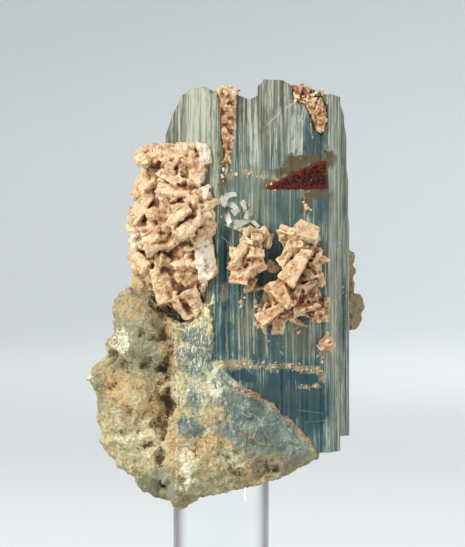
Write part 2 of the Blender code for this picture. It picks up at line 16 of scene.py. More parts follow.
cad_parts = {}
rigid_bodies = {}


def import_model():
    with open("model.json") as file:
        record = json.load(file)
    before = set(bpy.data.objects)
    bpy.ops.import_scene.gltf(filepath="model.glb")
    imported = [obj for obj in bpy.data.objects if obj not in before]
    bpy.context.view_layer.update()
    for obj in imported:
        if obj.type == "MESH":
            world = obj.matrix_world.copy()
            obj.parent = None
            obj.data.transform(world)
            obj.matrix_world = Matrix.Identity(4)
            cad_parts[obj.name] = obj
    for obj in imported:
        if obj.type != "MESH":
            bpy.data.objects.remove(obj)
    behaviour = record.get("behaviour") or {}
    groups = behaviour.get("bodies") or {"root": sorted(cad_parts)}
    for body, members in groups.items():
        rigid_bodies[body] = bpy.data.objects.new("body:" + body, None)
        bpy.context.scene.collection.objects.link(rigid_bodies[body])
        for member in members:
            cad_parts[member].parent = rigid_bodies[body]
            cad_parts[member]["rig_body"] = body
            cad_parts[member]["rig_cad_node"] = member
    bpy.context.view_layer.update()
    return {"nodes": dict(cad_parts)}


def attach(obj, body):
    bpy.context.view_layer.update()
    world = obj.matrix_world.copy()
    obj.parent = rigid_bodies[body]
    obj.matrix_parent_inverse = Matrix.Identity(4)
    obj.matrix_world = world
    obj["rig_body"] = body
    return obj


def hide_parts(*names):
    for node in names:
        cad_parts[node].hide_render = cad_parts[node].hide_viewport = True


MM = 0.001
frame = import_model()
print("packed nodes:", ", ".join(sorted(frame["nodes"])))

# %% [markdown]
# The picture is measured in pixels and the stone in millimetres. One pixel is an eighth
# of a millimetre here, so two small functions carry a place in the picture over to the
# stone. The prism's broad front face is turned a little to the right, and a third
# function says how far forward that face lies, so that small crystals can sit on it.
# %% Places on the stone
PIXEL = 0.125
PICTURE_WIDE = 465
PICTURE_HIGH = 547
LEFT_OF_ROD = 221.0
ABOVE_FOOT = 602.0
FACE_EDGE = (-0.6, -7.9)
FACE_TURN = math.radians(8.0)
LEFT_FACE_TURN = math.radians(52.0)


def across(px):
    return (px - LEFT_OF_ROD) * PIXEL


def up(py):
    return (ABOVE_FOOT - py) * PIXEL


def on_face(x):
    """The y of the prism's front face, or of its left one, at this x."""
    past_left = max(0.0, FACE_EDGE[0] - x)
    along = max(x, FACE_EDGE[0]) - FACE_EDGE[0]
    return FACE_EDGE[1] + along * math.tan(FACE_TURN) + past_left * math.tan(LEFT_FACE_TURN)


print("the front face starts at", FACE_EDGE, "mm")

# %% [markdown]
# Blender's operators act on whatever is selected, and the import leaves everything
# selected. So each step starts with one helper that selects a single piece. More helpers
# cover the moves that come back all the time: start a new piece, bring a copy of a packed
# form, apply a modifier, and join loose pieces into one whose place is in its mesh.
# %% Helpers for pieces
ops = bpy.ops


def pick(piece, *others):
    ops.object.select_all(action="DESELECT")
    for each in (piece, *others):
        each.select_set(True)
    bpy.context.view_layer.objects.active = piece


def started(name, add, **settings):
    """A new primitive under its own name, with nothing else selected."""
    ops.object.select_all(action="DESELECT")
    add(**settings)
    piece = bpy.context.object
    piece.name = piece.data.name = name
    return piece


def copy_of_node(node, name):
    """A copy of a packed form with its loose triangles merged, free to be reshaped."""
    pick(frame["nodes"][node])
    ops.object.duplicate()
    piece = bpy.context.object
    piece.name = piece.data.name = name
    ops.object.parent_clear(type="CLEAR_KEEP_TRANSFORM")
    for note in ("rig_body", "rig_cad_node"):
        piece.pop(note, None)
    ops.object.mode_set(mode="EDIT")
    ops.mesh.select_all(action="SELECT")
    ops.mesh.remove_doubles(threshold=1e-6)
    ops.object.mode_set(mode="OBJECT")
    ops.mesh.customdata_custom_splitnormals_clear()
    return piece


def modified(piece, kind, **settings):
    """Adds one modifier and applies it at once."""
    pick(piece)
    modifier = piece.modifiers.new(kind.title(), kind)
    for name, value in settings.items():
        setattr(modifier, name, value)
    ops.object.modifier_apply(modifier=modifier.name)
    return piece


def joined(pieces, name):
    pick(*pieces)
    ops.object.join()
    pieces[0].name = pieces[0].data.name = name
    ops.object.transform_apply(location=True, rotation=True, scale=True)
    return pieces[0]


def resized(piece, factors):
    """Stretches the mesh about the origin and leaves the object's own scale at 1."""
    pick(piece)
    piece.scale = factors
    ops.object.transform_apply(location=False, rotation=False, scale=True)


def describe(piece):
    size = piece.dimensions / MM
    print(f"{piece.name}: {size.x:.1f} x {size.y:.1f} x {size.z:.1f} mm,",
          len(piece.data.polygons), "faces")


# %% [markdown]
# A shader is a small sum: so much of this colour where that mask is high. Nodes wired by
# hand hide the sum, so one small class lets a socket be used in ordinary Python maths,
# and a recipe holds the material that is being built. Every recipe reads the piece's own
# coordinates, in millimetres, so a grain of 0.3 mm is written as 0.3.
# %% Shader maths as expressions
PATCH_SOFT = 0.8
STROKE_SOFT = 0.7


class Wire:
    """One socket of a material. Adding or multiplying it adds a Math node."""

    def __init__(self, recipe, socket):
        self.recipe = recipe
        self.socket = socket

    def maths(self, operation, *values):
        return self.recipe.node("Math", {"operation": operation}, values)

    def __add__(self, other):
        return self.maths("ADD", self, other)

    def __sub__(self, other):
        return self.maths("SUBTRACT", self, other)

    def __rsub__(self, other):
        return self.maths("SUBTRACT", other, self)

    def __mul__(self, other):
        return self.maths("MULTIPLY", self, other)

    def __truediv__(self, other):
        return self.maths("DIVIDE", self, other)

    __radd__ = __add__
    __rmul__ = __mul__

    def __gt__(self, other):
        return self.maths("GREATER_THAN", self, other)

    def larger(self, other):
        return self.maths("MAXIMUM", self, other)

    def rise(self, low, high):
        """0 below low, 1 above high, smooth between."""
        settings = {"interpolation_type": "SMOOTHSTEP"}
        return self.recipe.node("MapRange", settings, (self, low, high, 0.0, 1.0))


class Recipe:
    """A material being built round one Principled shader."""

    def __init__(self, name):
        self.material = bpy.data.materials.new(name)
        self.material.use_nodes = True
        self.tree = self.material.node_tree
        self.shader = self.tree.nodes["Principled BSDF"]
        place = self.node("TexCoord", {}, (), "Object")
        scaling = {"operation": "MULTIPLY"}
        self.place = self.node("VectorMath", scaling, (place, (1 / MM,) * 3))
        parts = self.tree.nodes.new("ShaderNodeSeparateXYZ")
        self.tree.links.new(self.place.socket, parts.inputs[0])
        self.x, self.y, self.z = (Wire(self, socket) for socket in parts.outputs)

    def plug(self, socket, value):
        if isinstance(value, Wire):
            self.tree.links.new(value.socket, socket)
        elif isinstance(value, tuple) and len(value) == 3 and socket.type == "RGBA":
            socket.default_value = (*value, 1.0)
        else:
            socket.default_value = value

    def node(self, kind, settings, inputs, output=0):
        """Any node: its settings first, then its sockets, by order or by name."""
        made = self.tree.nodes.new("ShaderNode" + kind)
        for name, value in settings.items():
            setattr(made, name, value)
        named = inputs.items() if isinstance(inputs, dict) else enumerate(inputs)
        for key, value in named:
            self.plug(made.inputs[key], value)
        return Wire(self, made.outputs[output])

    def stretched(self, factors):
        """The coordinates with each axis made coarser by its own factor."""
        inverse = tuple(1 / factor for factor in factors)
        return self.node("VectorMath", {"operation": "MULTIPLY"}, (self.place, inverse))

    def noise(self, grain, where=None, detail=3.0, rough=0.55, twist=0.0):
        """Cloudy noise from 0 to 1 whose blotches are about one grain across, in mm."""
        inputs = {
            "Vector": where or self.place,
            "Scale": 1 / grain,
            "Detail": detail,
            "Roughness": rough,
            "Distortion": twist,
        }
        return self.node("TexNoise", {}, inputs)

    def cells(self, grain, where=None, feature="F1", output="Distance"):
        """Voronoi cells about one grain across."""
        inputs = {"Vector": where or self.place, "Scale": 1 / grain}
        return self.node("TexVoronoi", {"feature": feature}, inputs, output)

    def mix(self, first, second, share):
        """The second colour over the first, by share."""
        made = {"data_type": "RGBA"}
        return self.node("Mix", made, {0: share, 6: first, 7: second}, 2)

    def over(self, colour, share):
        """Lays one more colour over what the recipe has so far, by share."""
        self.colour = self.mix(self.colour, colour, share)

    def waver(self, grain, amount):
        """Bends the places that patches are set by, so that their edges wander."""
        bend_x = self.noise(grain, self.stretched((1.0, 1.0, 1.3)), detail=2.0)
        bend_z = self.noise(grain, self.stretched((1.3, 1.0, 0.8)), detail=2.0)
        self.patch_x = self.x + (bend_x - 0.5) * (2 * amount)
        self.patch_z = self.z + (bend_z - 0.5) * (2 * amount)

    def stored_relief(self):
        """How far each point stands above the smoothed surface, as stored with the mesh."""
        return self.node("Attribute", {"attribute_name": "relief"}, (), "Fac")

    def strongest(self, shapes, soft):
        """The strongest of several marks at each point. Each is given by how far off its
        middle a point is, with 1 at its edge, and by its strength."""
        masks = [(1 - reach.rise(1 - soft, 1 + soft)) * strength for reach, strength in shapes]
        total = masks[0]
        for mask in masks[1:]:
            total = total.larger(mask)
        return total

    def patches(self, *spots):
        """Ovals in the picture: middle, half width and half height in pixels, strength."""
        shapes = []
        for px, py, wide, high, strength in spots:
            from_x = (self.patch_x - across(px)) / (wide * PIXEL)
            from_z = (self.patch_z - up(py)) / (high * PIXEL)
            shapes.append((from_x * from_x + from_z * from_z, strength))
        return self.strongest(shapes, PATCH_SOFT)

    def strokes(self, *lines):
        """Straight marks in the picture: two ends and half the width in pixels, strength."""
        shapes = []
        for px, py, end_px, end_py, wide, strength in lines:
            run = Vector((across(end_px) - across(px), up(end_py) - up(py)))
            from_x = self.patch_x - across(px)
            from_z = self.patch_z - up(py)
            share = from_x * (run.x / run.length_squared) + from_z * (run.y / run.length_squared)
            share = self.node("Clamp", {}, (share, 0.0, 1.0))
            off_x = from_x - share * run.x
            off_z = from_z - share * run.y
            shapes.append(((off_x * off_x + off_z * off_z) / (wide * PIXEL) ** 2, strength))
        return self.strongest(shapes, STROKE_SOFT)

    def bumped(self, height, depth):
        """Gives the shader a relief: height from 0 to 1 stands for depth in mm."""
        inputs = {"Strength": 1.0, "Distance": depth * MM, "Height": height}
        self.set(Normal=self.node("Bump", {}, inputs))

    def absorbing(self, colour, density):
        """Lets the clear inside keep a little of the light that passes."""
        volume = self.node("VolumeAbsorption", {}, (colour, density))
        self.tree.links.new(volume.socket, self.tree.nodes["Material Output"].inputs["Volume"])

    def set(self, **sockets):
        """Sets sockets of the shader, named with _ for a space."""
        for name, value in sockets.items():
            self.plug(self.shader.inputs[name.replace("_", " ")], value)


def srgb(red, green, blue):
    """A colour given from 0 to 255, as the linear values that shaders use."""
    def linear(value):
        value /= 255
        return value / 12.92 if value <= 0.04045 else ((value + 0.055) / 1.055) ** 2.4

    return linear(red), linear(green), linear(blue)


def dress(piece, recipe, node):
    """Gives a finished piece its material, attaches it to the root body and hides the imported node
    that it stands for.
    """
    piece.data.materials.clear()
    piece.data.materials.append(recipe.material)
    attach(piece, "root")
    if node:
        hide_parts(node)
    describe(piece)


# %% [markdown]
# A small stone is photographed from far off with a long lens, which keeps its upright
# edges upright. The camera looks almost level at the middle of the picture's frame.
# %% The camera
CAMERA_DISTANCE = 700.0
VIEW_HEIGHT = PICTURE_HIGH * PIXEL
LOOK_DOWN = math.radians(1.5)
FOCUS = Vector((across(PICTURE_WIDE / 2), -3.0, up(PICTURE_HIGH / 2)))
SENSOR = 36.0
NEAREST_SEEN = 10.0

back = Vector((0.0, -math.cos(LOOK_DOWN), math.sin(LOOK_DOWN)))
ops.object.camera_add(location=(FOCUS + back * CAMERA_DISTANCE) * MM)
camera = bpy.context.object
camera.rotation_euler = (math.pi / 2 - LOOK_DOWN, 0.0, 0.0)
camera.data.sensor_width = SENSOR
camera.data.lens = SENSOR * CAMERA_DISTANCE / VIEW_HEIGHT
camera.data.clip_start = NEAREST_SEEN * MM
bpy.context.scene.camera = camera
print(f"lens {camera.data.lens:.0f} mm")

# %% [markdown]
# A clear stone shows what is round it, so the studio matters as much as the lamps. A
# pale round floor curves up into a low wall on every side, like a shallow bowl: it gives
# the soft grey ground behind the stone from any angle. It starts as a flat disc, and its
# rim is drawn out ring by ring. Many rings and smooth shading keep the curve even.
# %% The floor and its rim
FLAT_RADIUS = 700.0
RIM_REACH = 590.0
RIM_HEIGHT = 700.0
RINGS = 24
FLOOR_SIDES = 160


def rim_ring(step):
    """Radius and height of one ring. The rim starts flat and ends upright."""
    turn = step / RINGS * math.pi / 2
    return FLAT_RADIUS + RIM_REACH * math.sin(turn), RIM_HEIGHT * (1 - math.cos(turn)) ** 2


def drawn_out(profile, sides, name):
    """A disc whose rim is extruded through the rest of a profile of radius and height."""
    radius, height = profile[0]
    piece = started(name, ops.mesh.primitive_circle_add, vertices=sides, radius=radius * MM,
                    fill_type="NGON")
    ops.object.mode_set(mode="EDIT")
    ops.mesh.select_mode(type="EDGE")
    ops.mesh.select_all(action="SELECT")
    ops.mesh.region_to_loop()
    for next_radius, next_height in profile[1:]:
        ops.mesh.extrude_edges_move()
        factor = next_radius / radius
        ops.transform.resize(value=(factor, factor, 1.0), center_override=(0, 0, 0))
        ops.transform.translate(value=(0, 0, (next_height - height) * MM))
        radius, height = next_radius, next_height
    ops.mesh.select_all(action="SELECT")
    ops.mesh.normals_make_consistent(inside=False)
    ops.object.mode_set(mode="OBJECT")
    return piece


bowl = drawn_out([rim_ring(step) for step in range(RINGS + 1)], FLOOR_SIDES, "studio_floor")
ops.object.shade_smooth()

paper = Recipe("pale_paper")
# Painted shade: the paper is coloured darker up the wall, as if less light reached it higher up.
painted_wall_shade = paper.z.rise(0.0, 150.0)
paper.set(
    Base_Color=paper.mix(srgb(222, 226, 228), srgb(186, 192, 195), painted_wall_shade),
    Roughness=0.9,
)
bowl.data.materials.append(paper.material)
describe(bowl)

# %% [markdown]
# The stone was lit through a large soft window from the upper left and the front, with a
# weaker lamp from the right that draws thin bright lines down the crystal's grooves. Two
# more light the floor and the wall behind it. A dim even sky fills the shadows, so that
# the hollows stay warm instead of black.
# %% The lamps
SKY_COLOUR = (0.80, 0.86, 0.90, 1.0)
SKY_STRENGTH = 0.26
CLEAR_BOUNCES = 8


def softbox(name, place, size, watts, colour=(1.0, 1.0, 1.0), aim=FOCUS):
    """A soft lamp at a place in millimetres, turned to face the stone or another aim."""
    place = Vector(place)
    aim = Vector(aim)
    ops.object.light_add(type="AREA", location=place * MM)
    lamp = bpy.context.object
    lamp.name = name
    lamp.rotation_euler = (aim - place).to_track_quat("-Z", "Y").to_euler()
    lamp.data.shape = "RECTANGLE"
    lamp.data.size, lamp.data.size_y = (side * MM for side in size)
    lamp.data.energy = watts
    lamp.data.color = colour
    print(f"{name}: {watts} W, {(aim - place).length:.0f} mm from its aim")


softbox("window", (-560, -420, 560), (340, 340), 9.5, (1.0, 0.985, 0.955))
softbox("strip_lamp", (560, -330, 245), (60, 400), 1.8)
softbox("rear_lamp", (300, 300, 480), (300, 300), 1.15, aim=(270, 240, 0))
softbox("backdrop_lamp", (260, 620, 420), (300, 300), 2.1, aim=(160, 1200, 40))

sky = bpy.data.worlds.new("sky")
sky.use_nodes = True
background = sky.node_tree.nodes["Background"]
background.inputs["Color"].default_value = SKY_COLOUR
background.inputs["Strength"].default_value = SKY_STRENGTH
bpy.context.scene.world = sky
bpy.context.scene.view_settings.view_transform = "Standard"
bpy.context.scene.cycles.transmission_bounces = CLEAR_BOUNCES

# %% [markdown]
# Beryl grows as a bundle of thin parallel columns, and their edges show as upright
# grooves from top to bottom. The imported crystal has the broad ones. To hold the fine
# ones, its mesh needs cells that are narrow but may be tall, so the form is squeezed to a
# quarter of its height, divided into even cells, and stretched back.
# %% The crystal's cells
CELL_STRETCH = 4.0
CELL_LEVELS = 8
FORM_SHARE = 0.73

crystal = copy_of_node("aquamarine_crystal", "aquamarine")
resized(crystal, (1.0, 1.0, 1 / CELL_STRETCH))
modified(crystal, "REMESH", mode="SHARP", octree_depth=CELL_LEVELS, scale=FORM_SHARE,
         sharpness=1.0, use_remove_disconnected=False)
resized(crystal, (1.0, 1.0, CELL_STRETCH))
describe(crystal)

# %% [markdown]
# Blender's own cloud textures push the surface in and out. Read through an empty object
# that is stretched upwards, the same clouds become long upright grooves. Only the upright
# faces take part, so the broken top stays crisp.
# %% Grooves in the crystal
CLOUD_DETAIL = 2
UPRIGHT_LIMIT = 0.3
SMOOTH_BELOW = math.radians(28)
GROOVES = ((1.1, 0.22, 30.0), (0.42, 0.14, 24.0))


def cloud(grain, hard=False):
    made = bpy.data.textures.new(f"cloud_{grain}", "CLOUDS")
    made.noise_scale = grain * MM
    made.noise_depth = CLOUD_DETAIL
    made.noise_type = "HARD_NOISE" if hard else "SOFT_NOISE"
    return made


def displaced(piece, texture, height, space=None, group="", rest=0.5):
    """Pushes the surface in and out by a texture, in all by height in mm.
    Where the texture has the rest value, the surface stays where it is."""
    settings = {
        "texture": texture,
        "strength": height * MM,
        "mid_level": rest,
        "vertex_group": group,
        "texture_coords": "OBJECT" if space else "LOCAL",
    }
    if space:
        settings["texture_coords_object"] = space
    return modified(piece, "DISPLACE", **settings)


def corners_where(piece, wanted):
    """The corners of all the faces for which wanted(face) holds."""
    return {corner for face in piece.data.polygons if wanted(face) for corner in face.vertices}


def tall_space(tall):
    """An empty, stretched upwards, that the textures follow."""
    ops.object.empty_add()
    space = bpy.context.object
    space.scale = (1.0, 1.0, tall)
    bpy.context.view_layer.update()
    return space


upright = crystal.vertex_groups.new(name="upright")
standing = corners_where(crystal, lambda face: abs(face.normal.z) < UPRIGHT_LIMIT)
flat = corners_where(crystal, lambda face: abs(face.normal.z) >= UPRIGHT_LIMIT)
upright.add(list(standing - flat), 1.0, "REPLACE")
for grain, height, tall in GROOVES:
    space = tall_space(tall)
    displaced(crystal, cloud(grain), height, space, "upright")
    bpy.data.objects.remove(space)
pick(crystal)
ops.object.shade_smooth_by_angle(angle=SMOOTH_BELOW)

# %% [markdown]
# Aquamarine is clear blue-green, but this one is full of veils, so much of its light
# comes back from inside, pale at the top and deep blue low on the right. The shader is
# nearly half transmission and the rest body colour, with real refraction and a little
# absorption. The left face is painted lighter, as painted light from the window, and the
# right side a little lighter too. Thin upright lines of white and brown run through it,
# each one a stretched cell with a tone of its own; some of the white lines, a bright band
# at the left edge of the front face and the extra white on the left face are painted
# glints and highlights. Broad cells set one prism off from the next. The broken ends on
# top show little but the pale grey of the fracture.
# %% The crystal's material
DEEP_TEAL = srgb(30, 80, 90)
TEAL = srgb(92, 132, 130)
GREY_GREEN = srgb(160, 163, 134)
HAZE = srgb(116, 122, 98)
WARM_GREY = srgb(146, 138, 120)
VEIN = srgb(206, 190, 150)
VEIL_AND_GLINT = srgb(228, 231, 210)
BROWN_LINE = srgb(74, 70, 50)
OLIVE = srgb(106, 88, 36)

beryl = Recipe("aquamarine")
threads = beryl.noise(0.14, beryl.stretched((1.0, 1.0, 50.0)), rough=0.65)
lines = beryl.cells(0.17, beryl.stretched((1.0, 1.0, 40.0)), output="Color")
bands = beryl.noise(0.5, beryl.stretched((1.0, 1.0, 24.0)))
columns = beryl.noise(1.9, beryl.stretched((1.0, 1.0, 12.0)), detail=2.0)
prisms = beryl.cells(2.4, beryl.stretched((1.0, 1.0, 100.0)), output="Color")
dashes = beryl.noise(0.22, beryl.stretched((1.0, 1.0, 7.0)), detail=2.0, rough=0.7)
clouds = beryl.noise(3.6, beryl.stretched((1.0, 1.0, 1.2)), detail=5.0, rough=0.6)
front = 1 - beryl.y.rise(-3.5, -1.5)
height = beryl.z.rise(30.0, 63.0)
top = beryl.z.rise(up(165), up(100))
left_face = (1 - beryl.x.rise(-1.6, -0.2)) * front
right_side = beryl.x.rise(across(324), across(332))
beryl.waver(1.1, 1.0)
deep = beryl.patches(
    (292, 402, 46, 30, 0.6), (223, 268, 6, 42, 0.8), (243, 375, 13, 6, 1.2),
    (304, 375, 18, 5, 1.4), (314, 405, 16, 22, 1.0), (314, 132, 12, 36, 0.9),
    (288, 206, 18, 14, 0.5), (316, 205, 10, 16, 0.6), (226, 338, 9, 18, 0.6),
    (253, 348, 8, 14, 0.4), (245, 395, 12, 8, 0.7), (270, 262, 14, 30, 0.5),
)
pale = beryl.patches(
    (274, 112, 14, 32, 0.4), (248, 120, 10, 26, 0.25), (300, 338, 26, 16, 0.7),
    (250, 330, 22, 24, 0.6), (310, 235, 20, 12, 0.2), (240, 240, 10, 20, 0.3),
    (341, 300, 10, 150, 0.7), (305, 345, 22, 14, 0.6),
)
hazy = beryl.patches(
    (258, 182, 38, 16, 0.9), (262, 214, 34, 32, 0.65), (310, 238, 18, 10, 0.6), (300, 340, 22, 14, 0.6),
    (212, 150, 6, 60, 0.6), (300, 392, 36, 7, 0.5), (254, 334, 20, 20, 0.5),
) * front
beryl.waver(0.6, 0.14)
# Partly painted highlight: the band at the left edge of the front face and some bright lines are
# painted light, the rest white veils.
marks = beryl.strokes(
    (295, 118, 296, 166, 5.0, 0.7), (302, 120, 301, 164, 0.8, 1.3), (211, 98, 212, 180, 4.0, 0.9),
    (214, 180, 213, 236, 3.0, 0.7), (296, 409, 322, 412, 0.5, 0.3), (306, 421, 326, 419, 0.5, 0.2),
    (325, 384, 326, 424, 0.5, 0.35), (240, 170, 282, 173, 1.6, 0.2),
    (225, 310, 228, 360, 0.9, 0.5), (238, 300, 240, 355, 0.8, 0.6), (280, 108, 281, 150, 0.6, 1.0),
    (333, 120, 338, 430, 1.0, 0.6), (344, 150, 347, 430, 0.8, 0.5), (232, 112, 232, 200, 0.8, 0.5),
    (252, 310, 254, 352, 0.8, 0.6), (266, 318, 267, 356, 0.8, 0.5), (250, 118, 250, 164, 0.6, 1.0),
    (310, 124, 312, 138, 0.6, 1.0), (328, 130, 328, 158, 0.6, 0.9), (336, 112, 336, 150, 0.6, 0.8),
)
tone = 0.4 + height * 0.3 + (clouds - 0.5) * 1.0 + (bands - 0.5) * 0.9 + (columns - 0.5) * 0.9
tone = tone + (prisms - 0.5) * 0.5
# Painted light: the left face's tone is raised, and its brown lines thinned below, as if lit by the
# window; the right side is raised a little.
tone = tone + (pale * 0.45 - deep * 0.8) * front + left_face * 0.62 + right_side * 0.25
beryl.colour = beryl.mix(DEEP_TEAL, TEAL, tone.rise(-0.15, 0.5))
beryl.over(GREY_GREEN, tone.rise(0.4, 1.0))
streak = threads * 0.5 + lines * 0.5 + dashes * 0.4 + bands * 0.35 + tone * 0.14
# Painted glints: the left face gets more white streaks.
streak = streak + left_face * 0.09
plain = 1 - hazy * 0.75
# The white streaks are partly the crystal's white veils and partly painted glints along the grooves.
white = streak.rise(0.98, 1.16) * (0.4 + tone.rise(0.1, 0.8) * 0.6) * plain
beryl.over(HAZE, hazy * (0.25 + clouds * 0.5))
warm = top * (1 - left_face) * (1 - deep) * (0.35 + clouds * 0.5)
beryl.over(WARM_GREY, warm)
beryl.over(VEIL_AND_GLINT, white)
dark = (1.06 - streak).rise(0.1, 0.34) * plain
beryl.over(BROWN_LINE, dark * height * (1 - left_face * 0.6) * 0.95)
beryl.over(DEEP_TEAL, dark * (1 - height) * 0.8)
beryl.over(VEIL_AND_GLINT, marks * front * (dashes * 2.2 - 0.4).rise(0.3, 0.9))
beryl.waver(0.5, 0.5)
veined = beryl.patches(
    (232, 362, 6, 4, 1.0), (245, 361, 7, 5, 1.0), (257, 365, 6, 3, 0.8), (271, 366, 5, 4, 1.0),
    (285, 364, 7, 3, 0.8), (300, 367, 9, 3, 1.0), (315, 369, 7, 4, 1.0), (322, 376, 4, 6, 0.8),
    (304, 386, 7, 2, 0.8), (316, 385, 5, 2, 0.9), (247, 172, 5, 3, 0.7), (262, 176, 7, 2, 0.7),
    (273, 182, 5, 5, 0.8), (229, 176, 5, 4, 0.7), (262, 308, 3, 12, 0.7), (224, 292, 3, 10, 0.6),
)
beryl.over(VEIN, veined * front * (clouds * 0.6 + dashes).rise(0.55, 0.8))
beryl.waver(0.6, 0.14)
scratches = beryl.strokes(
    (264, 128, 281, 111, 0.55, 0.8), (285, 108, 294, 103, 0.7, 0.7), (295, 102, 299, 101, 1.3, 1.0),
    (304, 105, 300, 121, 0.6, 0.9), (222, 236, 233, 246, 0.5, 0.6), (300, 372, 318, 371, 0.5, 0.5),
)
beryl.over(VEIL_AND_GLINT, scratches * front)
beryl.waver(1.0, 0.9)
olive = beryl.patches(
    (296, 162, 12, 7, 1.2), (286, 171, 14, 5, 1.0), (329, 159, 7, 8, 1.2), (314, 158, 10, 5, 0.9),
    (316, 194, 16, 5, 0.9), (268, 184, 7, 6, 0.7), (305, 203, 6, 12, 0.8), (222, 175, 4, 22, 0.9),
    (240, 388, 16, 6, 0.4), (304, 345, 6, 24, 0.3), (262, 345, 3, 14, 0.6), (233, 100, 10, 14, 0.5),
    (300, 92, 10, 8, 0.7), (268, 278, 6, 14, 0.9), (320, 96, 10, 5, 0.4), (264, 120, 3, 14, 0.6),
)
beryl.over(OLIVE, olive * front * (0.4 + streak * 0.65))
facing = beryl.node("NewGeometry", {}, (), "Normal")
broken_end = beryl.node("SeparateXYZ", {}, (facing,), "Z").rise(0.5, 0.85)
end_tone = clouds * 0.6 + prisms * 0.5 + beryl.noise(0.7, detail=4.0, rough=0.65) * 0.6
end_colour = beryl.mix(WARM_GREY, VEIL_AND_GLINT, end_tone.rise(0.6, 1.15))
beryl.over(end_colour, broken_end * 0.75)
beryl.set(
    Base_Color=beryl.colour,
    Roughness=0.2,
    IOR=1.577,
    Transmission_Weight=0.45,
)
beryl.bumped(threads, 0.12)
beryl.absorbing((0.62, 0.86, 0.90), 25.0)
dress(crystal, beryl, "aquamarine_crystal")

# %% [markdown]
# The rod is cast acrylic with polished ends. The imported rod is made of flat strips, and a
# clear thing shows every strip twice, so a rounder one takes its place. It lets the light
# through to the floor below, which a render only shows if the rod casts no shadow.
# %% The rod
ROD_WIDTH = 12.0
ROD_TALL = 15.2
RIM = 0.35
ROD_SIDES = 192

rod = started("clear_rod", ops.mesh.primitive_cylinder_add, vertices=ROD_SIDES,
              radius=ROD_WIDTH / 2 * MM, depth=ROD_TALL * MM,
              location=(0, 0, ROD_TALL / 2 * MM))
ops.object.transform_apply(location=True)
modified(rod, "BEVEL", width=RIM * MM, segments=4, limit_method="ANGLE", angle_limit=1.0)
pick(rod)
ops.object.shade_smooth_by_angle(angle=math.radians(40))

acrylic = Recipe("clear_acrylic")
wear = acrylic.noise(1.8, acrylic.stretched((1.0, 1.0, 0.4)), detail=4.0)
# Painted shade: the base colour turns dark grey where the rod's sides turn away from the view, standing
# in for the clear rod's dark rims.
edge = acrylic.node("LayerWeight", {}, (0.5,), "Facing").rise(0.24, 0.62)
acrylic.set(
    Base_Color=acrylic.mix((0.97, 0.98, 0.985), (0.12, 0.085, 0.09), edge),
    Roughness=0.06 + wear.rise(0.5, 0.8) * 0.05,
    IOR=1.49,
    Transmission_Weight=1.0,
)
acrylic.absorbing((0.80, 0.84, 0.88), 12.0)
dress(rod, acrylic, "display_stand")
rod.visible_shadow = False

# %% [markdown]
# The feldspar is a jumble of small blades and blocks that grew through each other, and
# many have broken off. A few of them are modelled here, each about a millimetre long at
# scale 1: tablets, blocks, plates and uneven slabs, all from a cube whose corners are
# moved, and rounded lumps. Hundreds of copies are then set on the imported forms, every one
# turned its own way.
# %% Small crystals to strew
def small_solid(name, squash, taper, seed, uneven=0.09):
    """A cube, flattened, narrowed at one end, its corners moved a little."""
    solid = started(name, ops.mesh.primitive_cube_add, size=1.0 * MM)
    ops.object.mode_set(mode="EDIT")
    ops.mesh.select_mode(type="FACE")
    ops.mesh.select_all(action="DESELECT")
    ops.object.mode_set(mode="OBJECT")
    for face in solid.data.polygons:
        face.select = face.normal.x > 0.9
    ops.object.mode_set(mode="EDIT")
    ops.transform.resize(value=(1.0, taper, taper))
    ops.mesh.select_all(action="SELECT")
    ops.transform.resize(value=squash, center_override=(0, 0, 0))
    ops.transform.vertex_random(offset=uneven * MM, seed=seed)
    ops.object.mode_set(mode="OBJECT")
    return solid


def rounded_lump(name, seed):
    solid = started(name, ops.mesh.primitive_ico_sphere_add, subdivisions=2, radius=0.5 * MM)
    ops.object.mode_set(mode="EDIT")
    ops.transform.vertex_random(offset=0.07 * MM, seed=seed)
    ops.object.mode_set(mode="OBJECT")
    return solid


TABLETS = [small_solid(f"tablet_{seed}", (1.0, 0.66, 0.36), 0.7, seed) for seed in (1, 2, 3)]
BLOCKS = [small_solid(f"block_{seed}", (0.9, 0.8, 0.7), 0.85, seed) for seed in (7, 8, 9)]
LUMPS = [rounded_lump(f"lump_{seed}", seed) for seed in (10, 11)]
PLATES = [
    small_solid(f"plate_{seed}", (1.0, wide, 0.28), taper, seed, 0.17)
    for seed, wide, taper in ((13, 0.62, 0.75), (14, 0.8, 0.5), (15, 0.5, 0.35), (19, 0.9, 0.8))
]
SLABS = [
    small_solid(f"slab_{seed}", (1.0, 1.0, 1.0), taper, seed, 0.16)
    for seed, taper in ((12, 0.8), (16, 0.6), (17, 0.35), (18, 0.7))
]
SMALL_SOLIDS = TABLETS + BLOCKS + LUMPS + PLATES + SLABS
print("small solids:", len(SMALL_SOLIDS))

# %% [markdown]
# To strew them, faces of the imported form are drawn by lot, larger ones more often, and a
# copy is set on each, leaning off the surface by chance and half sunk in it. The copies
# and the form are then joined and given one even skin by a voxel remesh, as real crystals
# are that grew through each other.
# %% Strewing and fusing
def copy_of(solid):
    copy = solid.copy()
    copy.data = solid.data.copy()
    bpy.context.scene.collection.objects.link(copy)
    return copy


def placed(solid, place, toward, size, rng, lean):
    """A copy of a small solid, its flat side towards a direction, give or take a lean."""
    copy = copy_of(solid)
    toward = toward + Vector([rng.gauss(0, lean) for _ in range(3)])
    spin = Quaternion((0, 0, 1), rng.uniform(0, math.tau))
    turn = toward.to_track_quat("Z", "Y") @ spin
    copy.matrix_world = Matrix.LocRotScale(place, turn, (size, size, size))
    return copy


